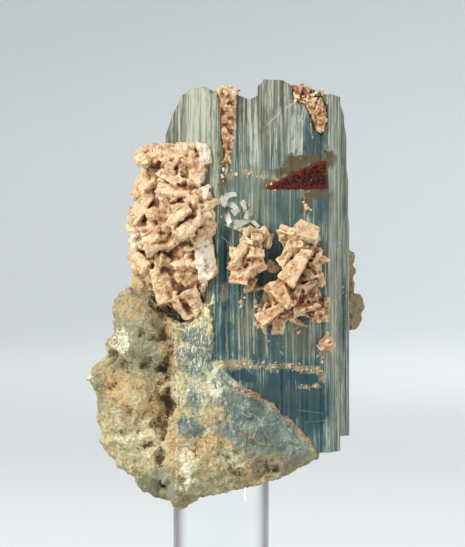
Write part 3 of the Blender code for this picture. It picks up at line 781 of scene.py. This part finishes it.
def strewn(form, solids, count, sizes, seed, lean, sunk, wanted=None):
    """Copies of the solids set on faces of the form that are drawn by lot."""
    rng = random.Random(seed)
    faces = [face for face in form.data.polygons if wanted is None or wanted(face)]
    areas = [face.area for face in faces]
    made = []
    for face in rng.choices(faces, weights=areas, k=count):
        corners = [form.data.vertices[index].co for index in face.vertices]
        shares = [rng.random() for _ in corners]
        place = sum((c * s for c, s in zip(corners, shares)), Vector()) / sum(shares)
        size = rng.uniform(*sizes)
        place -= face.normal * size * sunk * MM
        made.append(placed(rng.choice(solids), place, face.normal, size, rng, lean))
    return made


def fused(pieces, name, voxel):
    return modified(joined(pieces, name), "REMESH", mode="VOXEL", voxel_size=voxel * MM)


# %% [markdown]
# The largest blades are not left to chance. Each is laid where the picture shows it: a
# ray from the front finds the surface there, and the blade gets its length, width and
# thickness in millimetres, its turn in the picture, how far it tips up or sideways, and
# how far it stands out.
# %% Laying single blades
IN_FRONT = -40.0


def surface_at(form, px, py):
    """Where a straight look from the front meets the form, or else the prism's face."""
    x = across(px)
    z = up(py)
    start = Vector((x, IN_FRONT, z)) * MM
    met, place, _, _ = form.ray_cast(start, Vector((0.0, 1.0, 0.0)))
    return place if met else Vector((x, on_face(x), z)) * MM


def laid(solid, form, px, py, size, turn, tip=(0.0, 0.0), out=0.0):
    """A copy of a solid laid on the form, facing the front, its length turned from level."""
    copy = copy_of(solid)
    place = surface_at(form, px, py)
    place.y -= out * MM
    tip_up, tip_side = (math.radians(angle) for angle in tip)
    turned = (
        Quaternion((0, 0, 1), tip_side)
        @ Quaternion((1, 0, 0), -tip_up)
        @ Quaternion((0, 1, 0), -math.radians(turn))
        @ Quaternion((1, 0, 0), math.pi / 2)
    )
    copy.matrix_world = Matrix.LocRotScale(place, turned, size)
    return copy


def laid_in_turn(solids, form, rows, *rest):
    """Lays every row of a table, taking the solids in turn."""
    return [laid(solids[at % len(solids)], form, *row, *rest) for at, row in enumerate(rows)]


# %% [markdown]
# The shaders will need to know where the hollows are, because rust collects there and
# because they darken the hollows as painted shade. A smoothed twin of the piece is made,
# and the distance of each point above the twin is stored with the mesh.
# %% Relief for the shader
def points_of(mesh, what="co"):
    values = np.empty(len(mesh.vertices) * 3, np.float32)
    mesh.vertices.foreach_get(what, values)
    return values.reshape(-1, 3)


def relief_stored(piece, rounds):
    """Stores how far each point stands above the smoothed surface, in mm, as "relief"."""
    twin = copy_of(piece)
    modified(twin, "SMOOTH", factor=1.0, iterations=rounds)
    lifted = points_of(piece.data) - points_of(twin.data)
    heights = (lifted * points_of(twin.data, "normal")).sum(axis=1) / MM
    stored = piece.data.attributes.new("relief", "FLOAT", "POINT")
    stored.data.foreach_set("value", heights.astype(np.float32))
    bpy.data.objects.remove(twin)
    print(f"{piece.name}: relief", np.percentile(heights, (5, 50, 95)).round(3), "mm")


# %% [markdown]
# On the left the feldspar is a thick crust. Its clearest blades are listed one by one.
# Between them lie plates of two sizes by chance, half sunk like tiles, and crumbs that
# gather in some places and leave others bare. Soft clouds then break the straight edges.
# %% The crust on the left
CRUST_BLADES = (
    (176, 193, (4.6, 1.9, 1.5), -8, (42, 0), 0.5),
    (143, 206, (5.2, 2.0, 1.2), 58, (10, -20), 0.4),
    (175, 163, (2.8, 1.0, 1.0), 52, (30, 0), 0.4),
    (193, 224, (4.0, 1.8, 1.2), 42, (25, 10), 0.4),
    (164, 286, (4.6, 3.0, 1.8), -78, (5, -15), 0.5),
    (147, 290, (3.0, 2.0, 1.2), -60, (0, -20), 0.2),
    (196, 302, (3.6, 2.4, 1.6), -52, (5, 15), 0.3),
    (190, 149, (3.0, 1.8, 1.2), 15, (30, 10), 0.1),
    (205, 155, (1.6, 3.2, 1.0), 5, (10, 20), 0.1),
    (140, 260, (3.0, 2.0, 1.2), -35, (10, -25), 0.1),
    (160, 245, (3.4, 1.6, 1.0), 20, (30, 0), 0.3),
    (203, 190, (2.4, 1.0, 0.8), 35, (15, 20), 0.2),
    (206, 258, (2.6, 5.0, 0.9), 10, (0, 15), 0.1),
    (156, 228, (4.6, 0.34, 0.5), 29, (0, 0), 0.9),
)
ROUGH_ZONES = 2.2
CRUST_RIGHT = 211
CRUST_VOXEL = 0.14


def outer_left(face):
    return face.normal.y < 0.2


def in_rough_zone(face):
    """Crumbs lie together in some places and leave the blades bare in others."""
    return outer_left(face) and noise.noise(face.center / MM / ROUGH_ZONES) > 0.05


def within(pieces, px):
    """Keeps the copies whose middle lies left of a place in the picture."""
    for piece in pieces:
        if piece.matrix_world.translation.x > across(px) * MM:
            bpy.data.objects.remove(piece)
        else:
            yield piece


CRUST_LAYERS = (
    (PLATES, 70, (2.2, 4.0), 3, 0.2, 0.26, outer_left),
    (PLATES, 200, (1.0, 2.2), 5, 0.28, 0.22, outer_left),
    (BLOCKS, 360, (0.25, 0.7), 8, 0.9, 0.0, in_rough_zone),
)
left = copy_of_node("feldspar_crust_left", "feldspar_left")
displaced(left, cloud(3.0), 0.9)
grown = []
for solids, count, sizes, seed, lean, sunk, wanted in CRUST_LAYERS:
    grown += strewn(left, solids, count, sizes, seed, lean, sunk, wanted)
blades = laid_in_turn(SLABS, left, CRUST_BLADES)
left = fused([left, *within(grown, CRUST_RIGHT), *blades], "feldspar_left", CRUST_VOXEL)
modified(left, "SMOOTH", factor=0.5, iterations=2)
displaced(left, cloud(1.1), 0.5)
displaced(left, cloud(0.4), 0.24)
relief_stored(left, 120)

# %% [markdown]
# Feldspar is cream where it is fresh, peach where iron has crept in and a dull mauve in
# places. Rust has collected in its fine cracks and in its hollows, and the stored relief
# tells the shader where those are. The hollows are also darkened as painted shade, deepest
# brown where they are lowest, and a few listed spots are painted shadows under blades.
# %% The feldspar's material
CREAM = srgb(230, 208, 170)
PEACH = srgb(206, 170, 128)
TAN = srgb(176, 128, 82)
RUST = srgb(118, 68, 34)
RUST_AND_SHADE_DARK = srgb(64, 36, 20)
PEARL = srgb(236, 232, 222)
MAUVE = srgb(178, 152, 136)

spar = Recipe("feldspar")
relief = spar.stored_relief()
blotch = spar.noise(1.7, detail=4.0, rough=0.6)
patchy = spar.noise(0.8, rough=0.6)
sugar = spar.noise(0.26, rough=0.65)
front = 1 - spar.y.rise(-2.0, 1.0)
spar.waver(0.7, 0.7)
seams = spar.cells(1.3, spar.stretched((1.0, 1.0, 0.8)), "DISTANCE_TO_EDGE")
spar.waver(1.0, 0.8)
pearly = spar.patches(
    (204, 262, 9, 20, 1.0), (138, 239, 7, 8, 0.8), (203, 142, 7, 22, 0.7), (205, 190, 5, 16, 0.5),
) * front
# Spots of rust stain, some of them painted shadows: under the blade near the top and in the gap beside
# the diagonal blade.
stain_and_shadow_spots = spar.patches(
    (157, 207, 5, 20, 0.7), (184, 207, 16, 5, 0.8), (150, 250, 9, 9, 0.5), (184, 290, 8, 12, 0.7),
    (190, 244, 8, 10, 0.5), (150, 168, 12, 12, 0.4), (188, 166, 8, 6, 0.4), (132, 180, 9, 7, 0.4),
    (132, 280, 8, 9, 0.5), (225, 125, 8, 40, 0.9), (305, 90, 14, 7, 1.1), (316, 256, 10, 12, 0.5),
    (322, 116, 10, 22, 0.7), (303, 300, 12, 10, 0.5), (258, 280, 8, 6, 0.8), (284, 252, 6, 12, 0.4),
    (322, 300, 6, 18, 0.4),
) * front
fresh = (blotch * 0.7 + sugar * 0.7 + pearly * 0.2).rise(0.58, 0.84)
spar.colour = spar.mix(PEACH, CREAM, fresh)
spar.over(MAUVE, (patchy - blotch * 0.4).rise(0.34, 0.46) * 0.4)
low_down = (1 - spar.z.rise(up(300), up(240))) * 0.17 + spar.x.rise(across(225), across(245)) * 0.04
# Rust stain and painted shade: the stain grows where the relief is low.
stain = (patchy - 0.5) * 0.8 + (blotch - 0.5) * 0.5 - relief * 1.6 + stain_and_shadow_spots * 0.35 + low_down
spar.over(TAN, stain.rise(-0.05, 0.22) * 0.85)
spar.over(RUST, (stain + (sugar - 0.5) * 0.5).rise(0.2, 0.42) * 0.9)
crack = (1 - seams.rise(0.01, 0.05)) * (patchy * 0.5 + sugar * 0.5).rise(0.44, 0.56)
spar.over(RUST, crack * 0.7)
# Painted shade with rust: the darkest brown in the deepest hollows.
spar.over(RUST_AND_SHADE_DARK, (stain - relief * 0.5).rise(0.42, 0.7) * 0.85)
spar.over(PEARL, pearly * (0.35 - stain).rise(0.0, 0.3) * 0.6)
spar.set(Base_Color=spar.colour, Roughness=0.55 - pearly * 0.3 + (blotch - 0.5) * 0.2)
spar.bumped(sugar, 0.07)
dress(left, spar, "feldspar_crust_left")

# %% [markdown]
# The two clusters on the front face, the knob below them and the fillings of the cleft
# and the notch are the same feldspar at a smaller size, so one function grows them all.
# The clusters are open: their packed form is shrunk to a dark core, and the blades laid
# over it leave gaps between them.
# %% The smaller growths
def small_growth(node, name, scale, counts, seed, voxel, shrink=0.9, blades=(), soft=1.0):
    """A packed form, shrunk a little and overgrown with crystals about scale mm long.
    Blades are laid on it one by one. The larger soft is, the rounder are the edges."""
    form = copy_of_node(node, name)
    large, small = counts

    def front_side(face):
        return face.normal.y < 0.3

    grown = laid_in_turn(SLABS, form, blades)
    displaced(form, cloud(scale), scale * 0.3, rest=shrink)
    grown += strewn(form, PLATES, large, (scale * 0.6, scale * 1.3), seed, 0.6, 0.05, front_side)
    grown += strewn(form, BLOCKS, small, (0.25, scale * 0.32), seed + 2, 0.9, 0.0, front_side)
    piece = fused([form, *grown], name, voxel)
    modified(piece, "SMOOTH", factor=0.5 * soft, iterations=2)
    displaced(piece, cloud(0.8), 0.3 * soft)
    displaced(piece, cloud(0.35), 0.16 * soft)
    relief_stored(piece, 80)
    dress(piece, spar, node)


CENTRE_BLADES = (
    (257, 237, (1.4, 1.2, 0.9), 10, (30, 0), 0.1), (268, 240, (1.9, 0.9, 1.0), 70, (0, 35), 0.2),
    (242, 249, (3.2, 1.4, 1.1), 55, (25, -20), 0.2), (257, 252, (1.8, 1.7, 0.8), -10, (35, 10), 0.1),
    (257, 267, (2.3, 1.5, 1.0), 28, (-25, 30), 0.1), (240, 274, (2.3, 2.6, 1.1), -12, (15, -15), 0.3),
    (255, 287, (2.5, 1.0, 0.9), 4, (35, 0), 0.1), (248, 240, (1.6, 0.7, 0.7), -30, (20, -20), 0.1),
)
RIGHT_BLADES = (
    (307, 232, (2.8, 2.6, 1.4), -20, (30, 15), 0.2), (288, 231, (2.5, 1.2, 0.9), -15, (35, -15), 0.1),
    (286, 253, (2.8, 1.5, 1.0), 65, (10, -35), 0.1), (297, 265, (4.6, 2.3, 1.4), 60, (15, -15), 0.4),
    (311, 283, (3.6, 0.8, 1.3), 38, (40, 20), 0.3), (317, 272, (3.4, 0.9, 1.1), -65, (0, 40), 0.2),
    (282, 294, (3.8, 2.5, 1.4), -52, (20, -15), 0.4), (272, 312, (3.6, 1.6, 1.0), 38, (25, -10), 0.2),
    (278, 325, (1.6, 2.2, 0.8), -8, (15, 10), 0.1), (324, 309, (3.0, 1.1, 1.0), 86, (0, 35), 0.2),
    (307, 306, (3.4, 1.3, 1.1), 18, (40, 0), 0.2), (322, 258, (1.7, 0.8, 0.7), -10, (20, 20), 0.0),
    (262, 318, (2.2, 0.8, 0.6), 45, (10, 0), 0.0), (298, 293, (2.4, 1.0, 1.0), 70, (0, -30), 0.1),
    (300, 322, (2.2, 0.8, 0.8), -30, (30, 10), 0.1),
)
small_growth("feldspar_cluster_centre", "feldspar_centre", 1.7, (16, 90), 31, 0.08, 1.1,
             CENTRE_BLADES, 1.1)
small_growth("feldspar_cluster_right", "feldspar_right", 2.0, (30, 170), 41, 0.09, 1.2,
             RIGHT_BLADES, 1.1)
small_growth("feldspar_knob", "feldspar_small", 1.0, (8, 24), 51, 0.07)
small_growth("feldspar_cleft_filling", "feldspar_in_cleft", 1.3, (36, 260), 63, 0.08, 0.1)
small_growth("feldspar_top_right", "feldspar_in_notch", 0.9, (36, 110), 71, 0.07, -0.1)

# %% [markdown]
# The rock is a mass of small grains, pale where it is fresh and stained by iron. Blocks
# and lumps are strewn over its packed form. Clouds of three sizes then weather it, on a
# fine skin that is thinned afterwards, because even faces are not needed where it is flat.
# %% The rock's shape
ROCK_FACES = 96000
ROCK_VOXEL = 0.2
ROCK_CLOUDS = ((2.2, 0.45, True), (0.9, 0.35, False), (0.35, 0.26, False))
SEAM_BLADES = (
    (170, 326, (3.4, 2.2, 2.0), 20, (10, 0), 0.3), (179, 331, (3.0, 2.4, 1.4), -30, (0, 10), 0.1),
    (188, 328, (2.6, 2.2, 1.2), 15, (10, 0), 0.0), (197, 322, (2.6, 2.2, 1.0), 60, (0, 10), 0.0),
    (208, 314, (3.0, 2.4, 1.0), 70, (0, 10), 0.1), (214, 298, (1.6, 0.8, 0.6), 80, (10, 20), 0.0),
    (212, 322, (3.2, 1.5, 0.9), 95, (0, 20), 0.1), (214, 340, (2.6, 1.2, 0.8), 75, (0, 10), 0.1),
    (212, 356, (3.4, 1.6, 1.0), 100, (0, 10), 0.1), (216, 368, (2.6, 2.0, 0.9), 60, (0, 10), 0.1),
    (222, 376, (2.6, 2.0, 0.9), -50, (0, 10), 0.1), (232, 384, (2.6, 1.4, 0.7), -40, (0, 10), 0.1),
    (244, 391, (2.6, 1.2, 0.7), -35, (0, 10), 0.0), (256, 398, (3.2, 1.6, 0.8), -25, (0, 10), 0.0),
    (266, 405, (3.4, 1.8, 0.8), -35, (0, 10), 0.0), (279, 415, (3.4, 1.6, 0.8), -42, (0, 10), 0.0),
    (292, 426, (3.2, 1.4, 0.8), -44, (0, 10), 0.0), (306, 439, (3.0, 1.2, 0.7), -46, (0, 10), 0.0),
)
REAR_LUMPS = (
    (350, 259, (2.2, 1.8, 2.0), 80), (350, 273, (2.4, 2.0, 2.0), 100), (350, 288, (2.6, 1.8, 2.0), 80),
    (352, 306, (3.4, 3.4, 3.0), 70), (352, 320, (3.2, 3.0, 2.6), 110),
)

rock = copy_of_node("matrix_rock", "rock")
grown = strewn(rock, BLOCKS, 150, (0.8, 2.4), 7, 0.7, 0.32)
grown += strewn(rock, LUMPS, 260, (0.4, 1.2), 8, 0.7, 0.3)
seam = laid_in_turn(SLABS, crystal, SEAM_BLADES) + laid_in_turn(LUMPS, rock, REAR_LUMPS)
rock = fused([rock, *grown, *seam], "rock", ROCK_VOXEL)
for grain, height, hard in ROCK_CLOUDS:
    displaced(rock, cloud(grain, hard), height)
relief_stored(rock, 60)
if len(rock.data.polygons) > ROCK_FACES:
    modified(rock, "DECIMATE", ratio=ROCK_FACES / len(rock.data.polygons))

# %% [markdown]
# Its colour runs from pale grey-green through ochre to rust. Its hollows are darkened with
# rust and painted shade, and brown spots of painted shadow lie under the upper lump and
# along the bottom. The lump at the rear right is painted darker as shade. To the right the
# rock meets the foot of the crystal, where broken blue beryl is knit together by tan veins.
# %% The rock's material
PALE_STONE = srgb(200, 188, 146)
GREEN_STONE = srgb(130, 119, 82)
TEAL_STONE = srgb(136, 146, 128)
COAT_WHITE = srgb(228, 224, 198)
OCHRE = srgb(196, 160, 108)
STONE_RUST = srgb(134, 82, 40)
STONE_DARK = srgb(66, 50, 30)
BROKEN_BLUE = srgb(60, 90, 96)
SPLINTER = srgb(122, 134, 118)
SHADE_BROWN = srgb(104, 88, 72)

stone = Recipe("weathered_rock")
relief = stone.stored_relief()
blotch = stone.noise(3.2, detail=4.0)
broad = stone.noise(7.0)
stain = stone.noise(1.9, detail=5.0, rough=0.65, twist=0.4)
grains = stone.noise(0.5, rough=0.7)
specks = stone.noise(0.24, detail=2.0, rough=0.6)
fibres = stone.noise(0.2, stone.stretched((1.0, 1.0, 7.0)), rough=0.65)
front = 1 - stone.y.rise(-3.5, -1.0)
stone.waver(1.3, 1.3)
green = stone.patches(
    (140, 330, 34, 50, 0.6), (162, 484, 22, 16, 0.9), (150, 345, 22, 18, 0.5), (97, 392, 9, 22, 0.6),
    (200, 482, 24, 14, 0.5), (276, 456, 38, 16, 0.9), (240, 470, 24, 10, 0.5),
) * front
white = stone.patches(
    (121, 340, 10, 13, 0.9), (188, 462, 9, 24, 0.9), (140, 440, 26, 16, 0.5), (214, 380, 10, 18, 1.0),
    (196, 392, 12, 14, 0.6), (230, 462, 18, 10, 0.5), (88, 372, 5, 6, 0.9), (212, 300, 8, 26, 0.6),
) * front
ochre_spots = stone.patches(
    (116, 384, 18, 18, 1.0), (150, 404, 26, 14, 0.8), (169, 345, 9, 44, 0.9), (171, 430, 9, 36, 0.8),
    (203, 444, 17, 16, 1.0), (236, 430, 22, 14, 0.6), (130, 305, 16, 14, 0.6), (140, 385, 20, 14, 0.5),
    (214, 412, 10, 12, 0.6),
) * front
# Brown spots, partly rust stain and partly painted shadow: under the upper lump's overhang and along
# the bottom edge.
brown = stone.patches(
    (155, 306, 7, 16, 1.1), (163, 393, 10, 8, 1.3), (161, 461, 5, 6, 1.0), (168, 350, 9, 44, 0.5),
    (286, 466, 34, 9, 1.1), (220, 497, 44, 5, 1.0), (148, 390, 20, 5, 0.6), (124, 322, 14, 8, 0.4),
    (178, 398, 6, 14, 0.6), (258, 468, 30, 10, 0.7), (250, 446, 26, 8, 0.5), (130, 345, 26, 30, 0.25),
) * front
pale = blotch * 0.4 + grains * 1.0 + (white - green) * 0.25 + (broad - 0.5) * (1 - front) * 0.9
stone.colour = stone.mix(GREEN_STONE, PALE_STONE, pale.rise(0.5, 0.86))
stone.over(TEAL_STONE, green * (blotch * 1.4).rise(0.4, 0.8) * 0.7)
stone.over(COAT_WHITE, (white * 0.6 + (grains - 0.5) * 1.8).rise(0.25, 0.7))
unseen = (1 - front) * (blotch - 0.4).rise(0.0, 0.25) + stone.x.rise(across(347), across(352)) * 0.3
ochre = (stain - 0.5) * 1.2 + (specks - 0.5) * 1.0 + (grains - 0.5) * 0.8
ochre = ochre + (ochre_spots + unseen) * 0.32
stone.over(OCHRE, ochre.rise(0.08, 0.4) * 0.85)
# Rust stain, and painted shade where the relief is low.
rusty = (stain - 0.5) * 0.8 + (grains - 0.5) * 1.2 + (specks - 0.5) * 0.9 - relief
rusty = rusty + brown * 0.3 + unseen * 0.1
stone.over(STONE_RUST, (rusty + ochre * 0.3).rise(0.22, 0.5) * 0.8)
# Painted shade: the rear lump on the right is darkened as if it stood in shade.
rear_shade = stone.x.rise(across(346), across(358)) * (0.35 + grains * 0.7)
stone.over(SHADE_BROWN, rear_shade)
# Painted shade with rust: the darkest brown in the hollows.
hollow = (specks - 0.5) * 0.8 + (grains - 0.5) * 0.8 - relief * 1.7 + brown * 0.22
stone.over(STONE_DARK, hollow.rise(0.2, 0.5) * 0.85)

# %% [markdown]
# The broken foot of the crystal is part of the same mass: blue splinters between tan
# veins, a fibrous white coat beside the left face, and fine pale cracks. A brown band of
# painted shade runs along the stone's lower edge.
# %% The broken foot
broken = stone.patches(
    (264, 418, 46, 34, 1.2), (236, 398, 24, 22, 1.0), (190, 425, 14, 12, 1.1), (198, 352, 24, 30, 1.0),
    (200, 400, 20, 12, 0.8), (292, 446, 26, 14, 0.9), (196, 384, 16, 20, 0.7), (222, 380, 14, 12, 0.8),
) * front
knit = stone.cells(1.6, stone.stretched((1.0, 1.0, 1.4)), "DISTANCE_TO_EDGE")
splinters = broken * 0.6 + knit * 0.5 + (stain - 0.5) * 1.2 + (fibres - 0.5) * 0.9
splinters = splinters.rise(0.4, 0.62) * broken.rise(0.05, 0.4)
lit = (fibres * 0.8 + grains * 0.4 + (stain - 0.5) * 0.8).rise(0.42, 0.8)
splinter_colour = stone.mix(BROKEN_BLUE, SPLINTER, lit)
stone.over(splinter_colour, splinters * 0.92)
coat = stone.patches((197, 330, 24, 46, 1.0), (190, 396, 16, 24, 0.8), (213, 385, 10, 22, 0.8)) * front
stone.over(COAT_WHITE, coat * (fibres + (grains - 0.5) * 0.3).rise(0.52, 0.66))
stone.over(STONE_RUST, coat * (fibres * 0.8 + stain * 0.5).rise(0.78, 0.9) * 0.7)
# Painted shade along the stone's lower edge, where its underside turns away from the light.
rim = stone.strokes(
    (176, 503, 212, 495, 3.5, 0.9), (212, 495, 262, 485, 3.0, 0.9), (262, 485, 300, 475, 3.5, 0.9),
    (300, 475, 322, 456, 3.5, 0.8), (250, 462, 300, 456, 6.0, 0.4), (96, 440, 130, 486, 2.0, 0.5),
) * front
stone.over(SHADE_BROWN, rim * grains.rise(0.3, 0.6) * 0.8)
stone.waver(0.8, 0.35)
cracks = stone.strokes(
    (175, 322, 177, 405, 0.9, 0.6), (178, 425, 176, 500, 1.1, 0.6), (240, 404, 262, 420, 0.7, 0.5),
    (272, 402, 252, 436, 0.6, 0.5), (236, 428, 282, 420, 0.6, 0.5), (262, 398, 292, 432, 0.7, 0.5),
    (246, 392, 240, 426, 0.6, 0.4), (250, 440, 300, 446, 0.8, 0.4), (262, 412, 284, 408, 0.5, 0.4),
    (224, 398, 236, 440, 1.2, 0.6), (206, 430, 232, 420, 1.2, 0.5), (180, 345, 215, 348, 0.8, 0.6),
    (230, 380, 242, 388, 2.0, 0.8),
) * front
stone.over(COAT_WHITE, cracks * grains.rise(0.35, 0.6) * 0.75)
stone.over(STONE_RUST, cracks * (specks * 0.6 + grains * 0.5).rise(0.56, 0.66) * 0.8)
rusty_break = stone.strokes(
    (236, 386, 256, 394, 2.4, 1.0), (256, 394, 276, 406, 2.0, 1.0), (276, 406, 300, 430, 2.0, 1.0),
    (300, 430, 320, 452, 2.4, 0.9), (240, 432, 262, 440, 1.6, 0.5),
) * front
stone.over(OCHRE, rusty_break * grains.rise(0.35, 0.55) * 0.9)
stone.over(STONE_RUST, rusty_break * (specks * 0.6 + grains * 0.5).rise(0.5, 0.62))
stone.set(Base_Color=stone.colour, Roughness=0.82 - splinters * 0.45)
stone.bumped(specks * 0.4 + grains * 0.5 + fibres * coat * 0.5, 0.22)
dress(rock, stone, "matrix_rock")

# %% [markdown]
# Iron oxide fills a shallow pit in the crystal: a dull dark red crust of tiny grains.
# %% The iron oxide
IRON_DARK = srgb(14, 4, 3)
IRON_RED = srgb(98, 32, 20)
IRON_CRUMB = srgb(196, 160, 116)

iron = copy_of_node("iron_oxide_patch", "iron_crust")
grown = strewn(iron, BLOCKS, 420, (0.2, 0.5), 81, 0.9, 0.2, lambda face: face.normal.y < -0.5)
iron = fused([iron, *grown], "iron_crust", 0.08)
displaced(iron, cloud(0.3), 0.16, rest=-0.4)
relief_stored(iron, 40)

rust = Recipe("iron_oxide")
relief = rust.stored_relief()
grain = rust.noise(0.3, rough=0.7)
crumbs = rust.cells(0.9)
# Darker between the grains where the relief is low: the iron's own dark red, partly painted shade.
rust.colour = rust.mix(IRON_DARK, IRON_RED, (grain + relief * 2.0).rise(0.42, 0.72))
rust.over(IRON_CRUMB, (1 - crumbs).rise(0.8, 0.9) * (grain > 0.5))
rust.set(Base_Color=rust.colour, Roughness=0.75, Specular_IOR_Level=0.25)
rust.bumped(grain, 0.08)
dress(iron, rust, "iron_oxide_patch")

# %% [markdown]
# Crumbs of feldspar are stuck to the front face in rows, where cracks cross it, and rusty
# ones follow the slanting break low down. They are the same small solids, laid one by one
# along lines in the picture, and joined in one piece. Each row has its two ends, how many
# crumbs, their size in millimetres and how far they stray from the line in pixels. They
# stand proud of the face, so their stored relief is high and the shader keeps them free of
# rust and painted shade.
# %% Crumbs on the front face
CRUMB_RELIEF = 0.14
CRUMB_SEED = 91
CRUMB_ROWS = (
    (228, 172, 268, 176, 16, 0.3, 1.5),
    (262, 180, 276, 188, 14, 0.35, 2.0),
    (304, 190, 307, 216, 12, 0.45, 1.5),
    (228, 364, 262, 361, 44, 0.24, 2.4),
    (268, 365, 322, 369, 70, 0.26, 2.4),
    (302, 386, 320, 385, 16, 0.22, 1.5),
    (243, 390, 256, 394, 12, 0.4, 1.5),
    (222, 215, 244, 236, 16, 0.5, 1.5),
    (270, 264, 273, 266, 3, 1.1, 0.5),
    (236, 296, 262, 304, 16, 0.4, 3.0),
    (246, 200, 250, 222, 8, 0.4, 1.5),
    (318, 350, 322, 380, 14, 0.35, 2.0),
    (286, 300, 300, 340, 12, 0.35, 3.0),
    (222, 160, 226, 196, 18, 0.4, 1.5),
    (296, 88, 332, 96, 14, 0.5, 1.5),
    (336, 180, 344, 300, 12, 0.25, 1.5),
    (230, 385, 236, 396, 8, 0.4, 1.5),
    (250, 306, 282, 350, 24, 0.35, 4.0),
    (324, 330, 330, 348, 10, 0.5, 1.5),
)
rng = random.Random(CRUMB_SEED)
crumbs = []
for px, py, end_px, end_py, count, size, spread in CRUMB_ROWS:
    for _ in range(count):
        share = rng.random()
        here = (px + (end_px - px) * share + rng.gauss(0, spread),
                py + (end_py - py) * share + rng.gauss(0, spread))
        place = surface_at(crystal, *here)
        solid = rng.choice(BLOCKS + TABLETS)
        grain_size = size * rng.uniform(0.5, 1.2) ** 2
        crumbs.append(placed(solid, place, Vector((0, -1, 0)), grain_size, rng, 0.8))
crumbs = joined(crumbs, "feldspar_crumbs")
proud = crumbs.data.attributes.new("relief", "FLOAT", "POINT")
proud.data.foreach_set("value", [CRUMB_RELIEF] * len(crumbs.data.vertices))
dress(crumbs, spar, None)

# %% [markdown]
# Between the crust and the first cluster, thin half-clear flakes of mica lean on the face.
# %% The mica flakes
MICA_GREY = srgb(214, 214, 194)
MICA_WHITE = srgb(246, 244, 230)
FLAKE_LIFT = 0.15
FLAKES = (
    (224, 198, (1.8, 1.6, 0.06), 60, (25, 20)), (230, 203, (2.2, 1.5, 0.06), -40, (35, 0)),
    (237, 209, (1.8, 1.9, 0.06), 35, (15, 30)), (227, 214, (2.4, 1.3, 0.06), -62, (20, -20)),
    (241, 221, (2.2, 1.8, 0.06), 15, (30, 10)), (247, 213, (1.6, 1.3, 0.06), 70, (20, 20)),
    (233, 224, (2.2, 1.5, 0.06), -25, (25, 0)), (247, 229, (1.5, 1.5, 0.06), 50, (25, 0)),
    (312, 280, (2.4, 1.6, 0.08), 80, (10, 30)), (231, 194, (1.2, 1.1, 0.06), 10, (20, 0)),
    (243, 203, (1.6, 1.0, 0.06), -70, (20, 0)), (254, 222, (1.6, 1.2, 0.06), -45, (25, 0)),
)
flakes = joined(laid_in_turn(PLATES[:3], crystal, FLAKES, FLAKE_LIFT), "mica_flakes")
mica = Recipe("mica")
sheen = mica.noise(0.3)
mica.set(
    Base_Color=mica.mix(MICA_GREY, MICA_WHITE, sheen.rise(0.4, 0.6)),
    Roughness=0.25 + sheen * 0.2,
    IOR=1.58,
    Transmission_Weight=0.5,
)
mica.bumped(sheen, 0.04)
dress(flakes, mica, None)

for solid in SMALL_SOLIDS:
    bpy.data.objects.remove(solid)
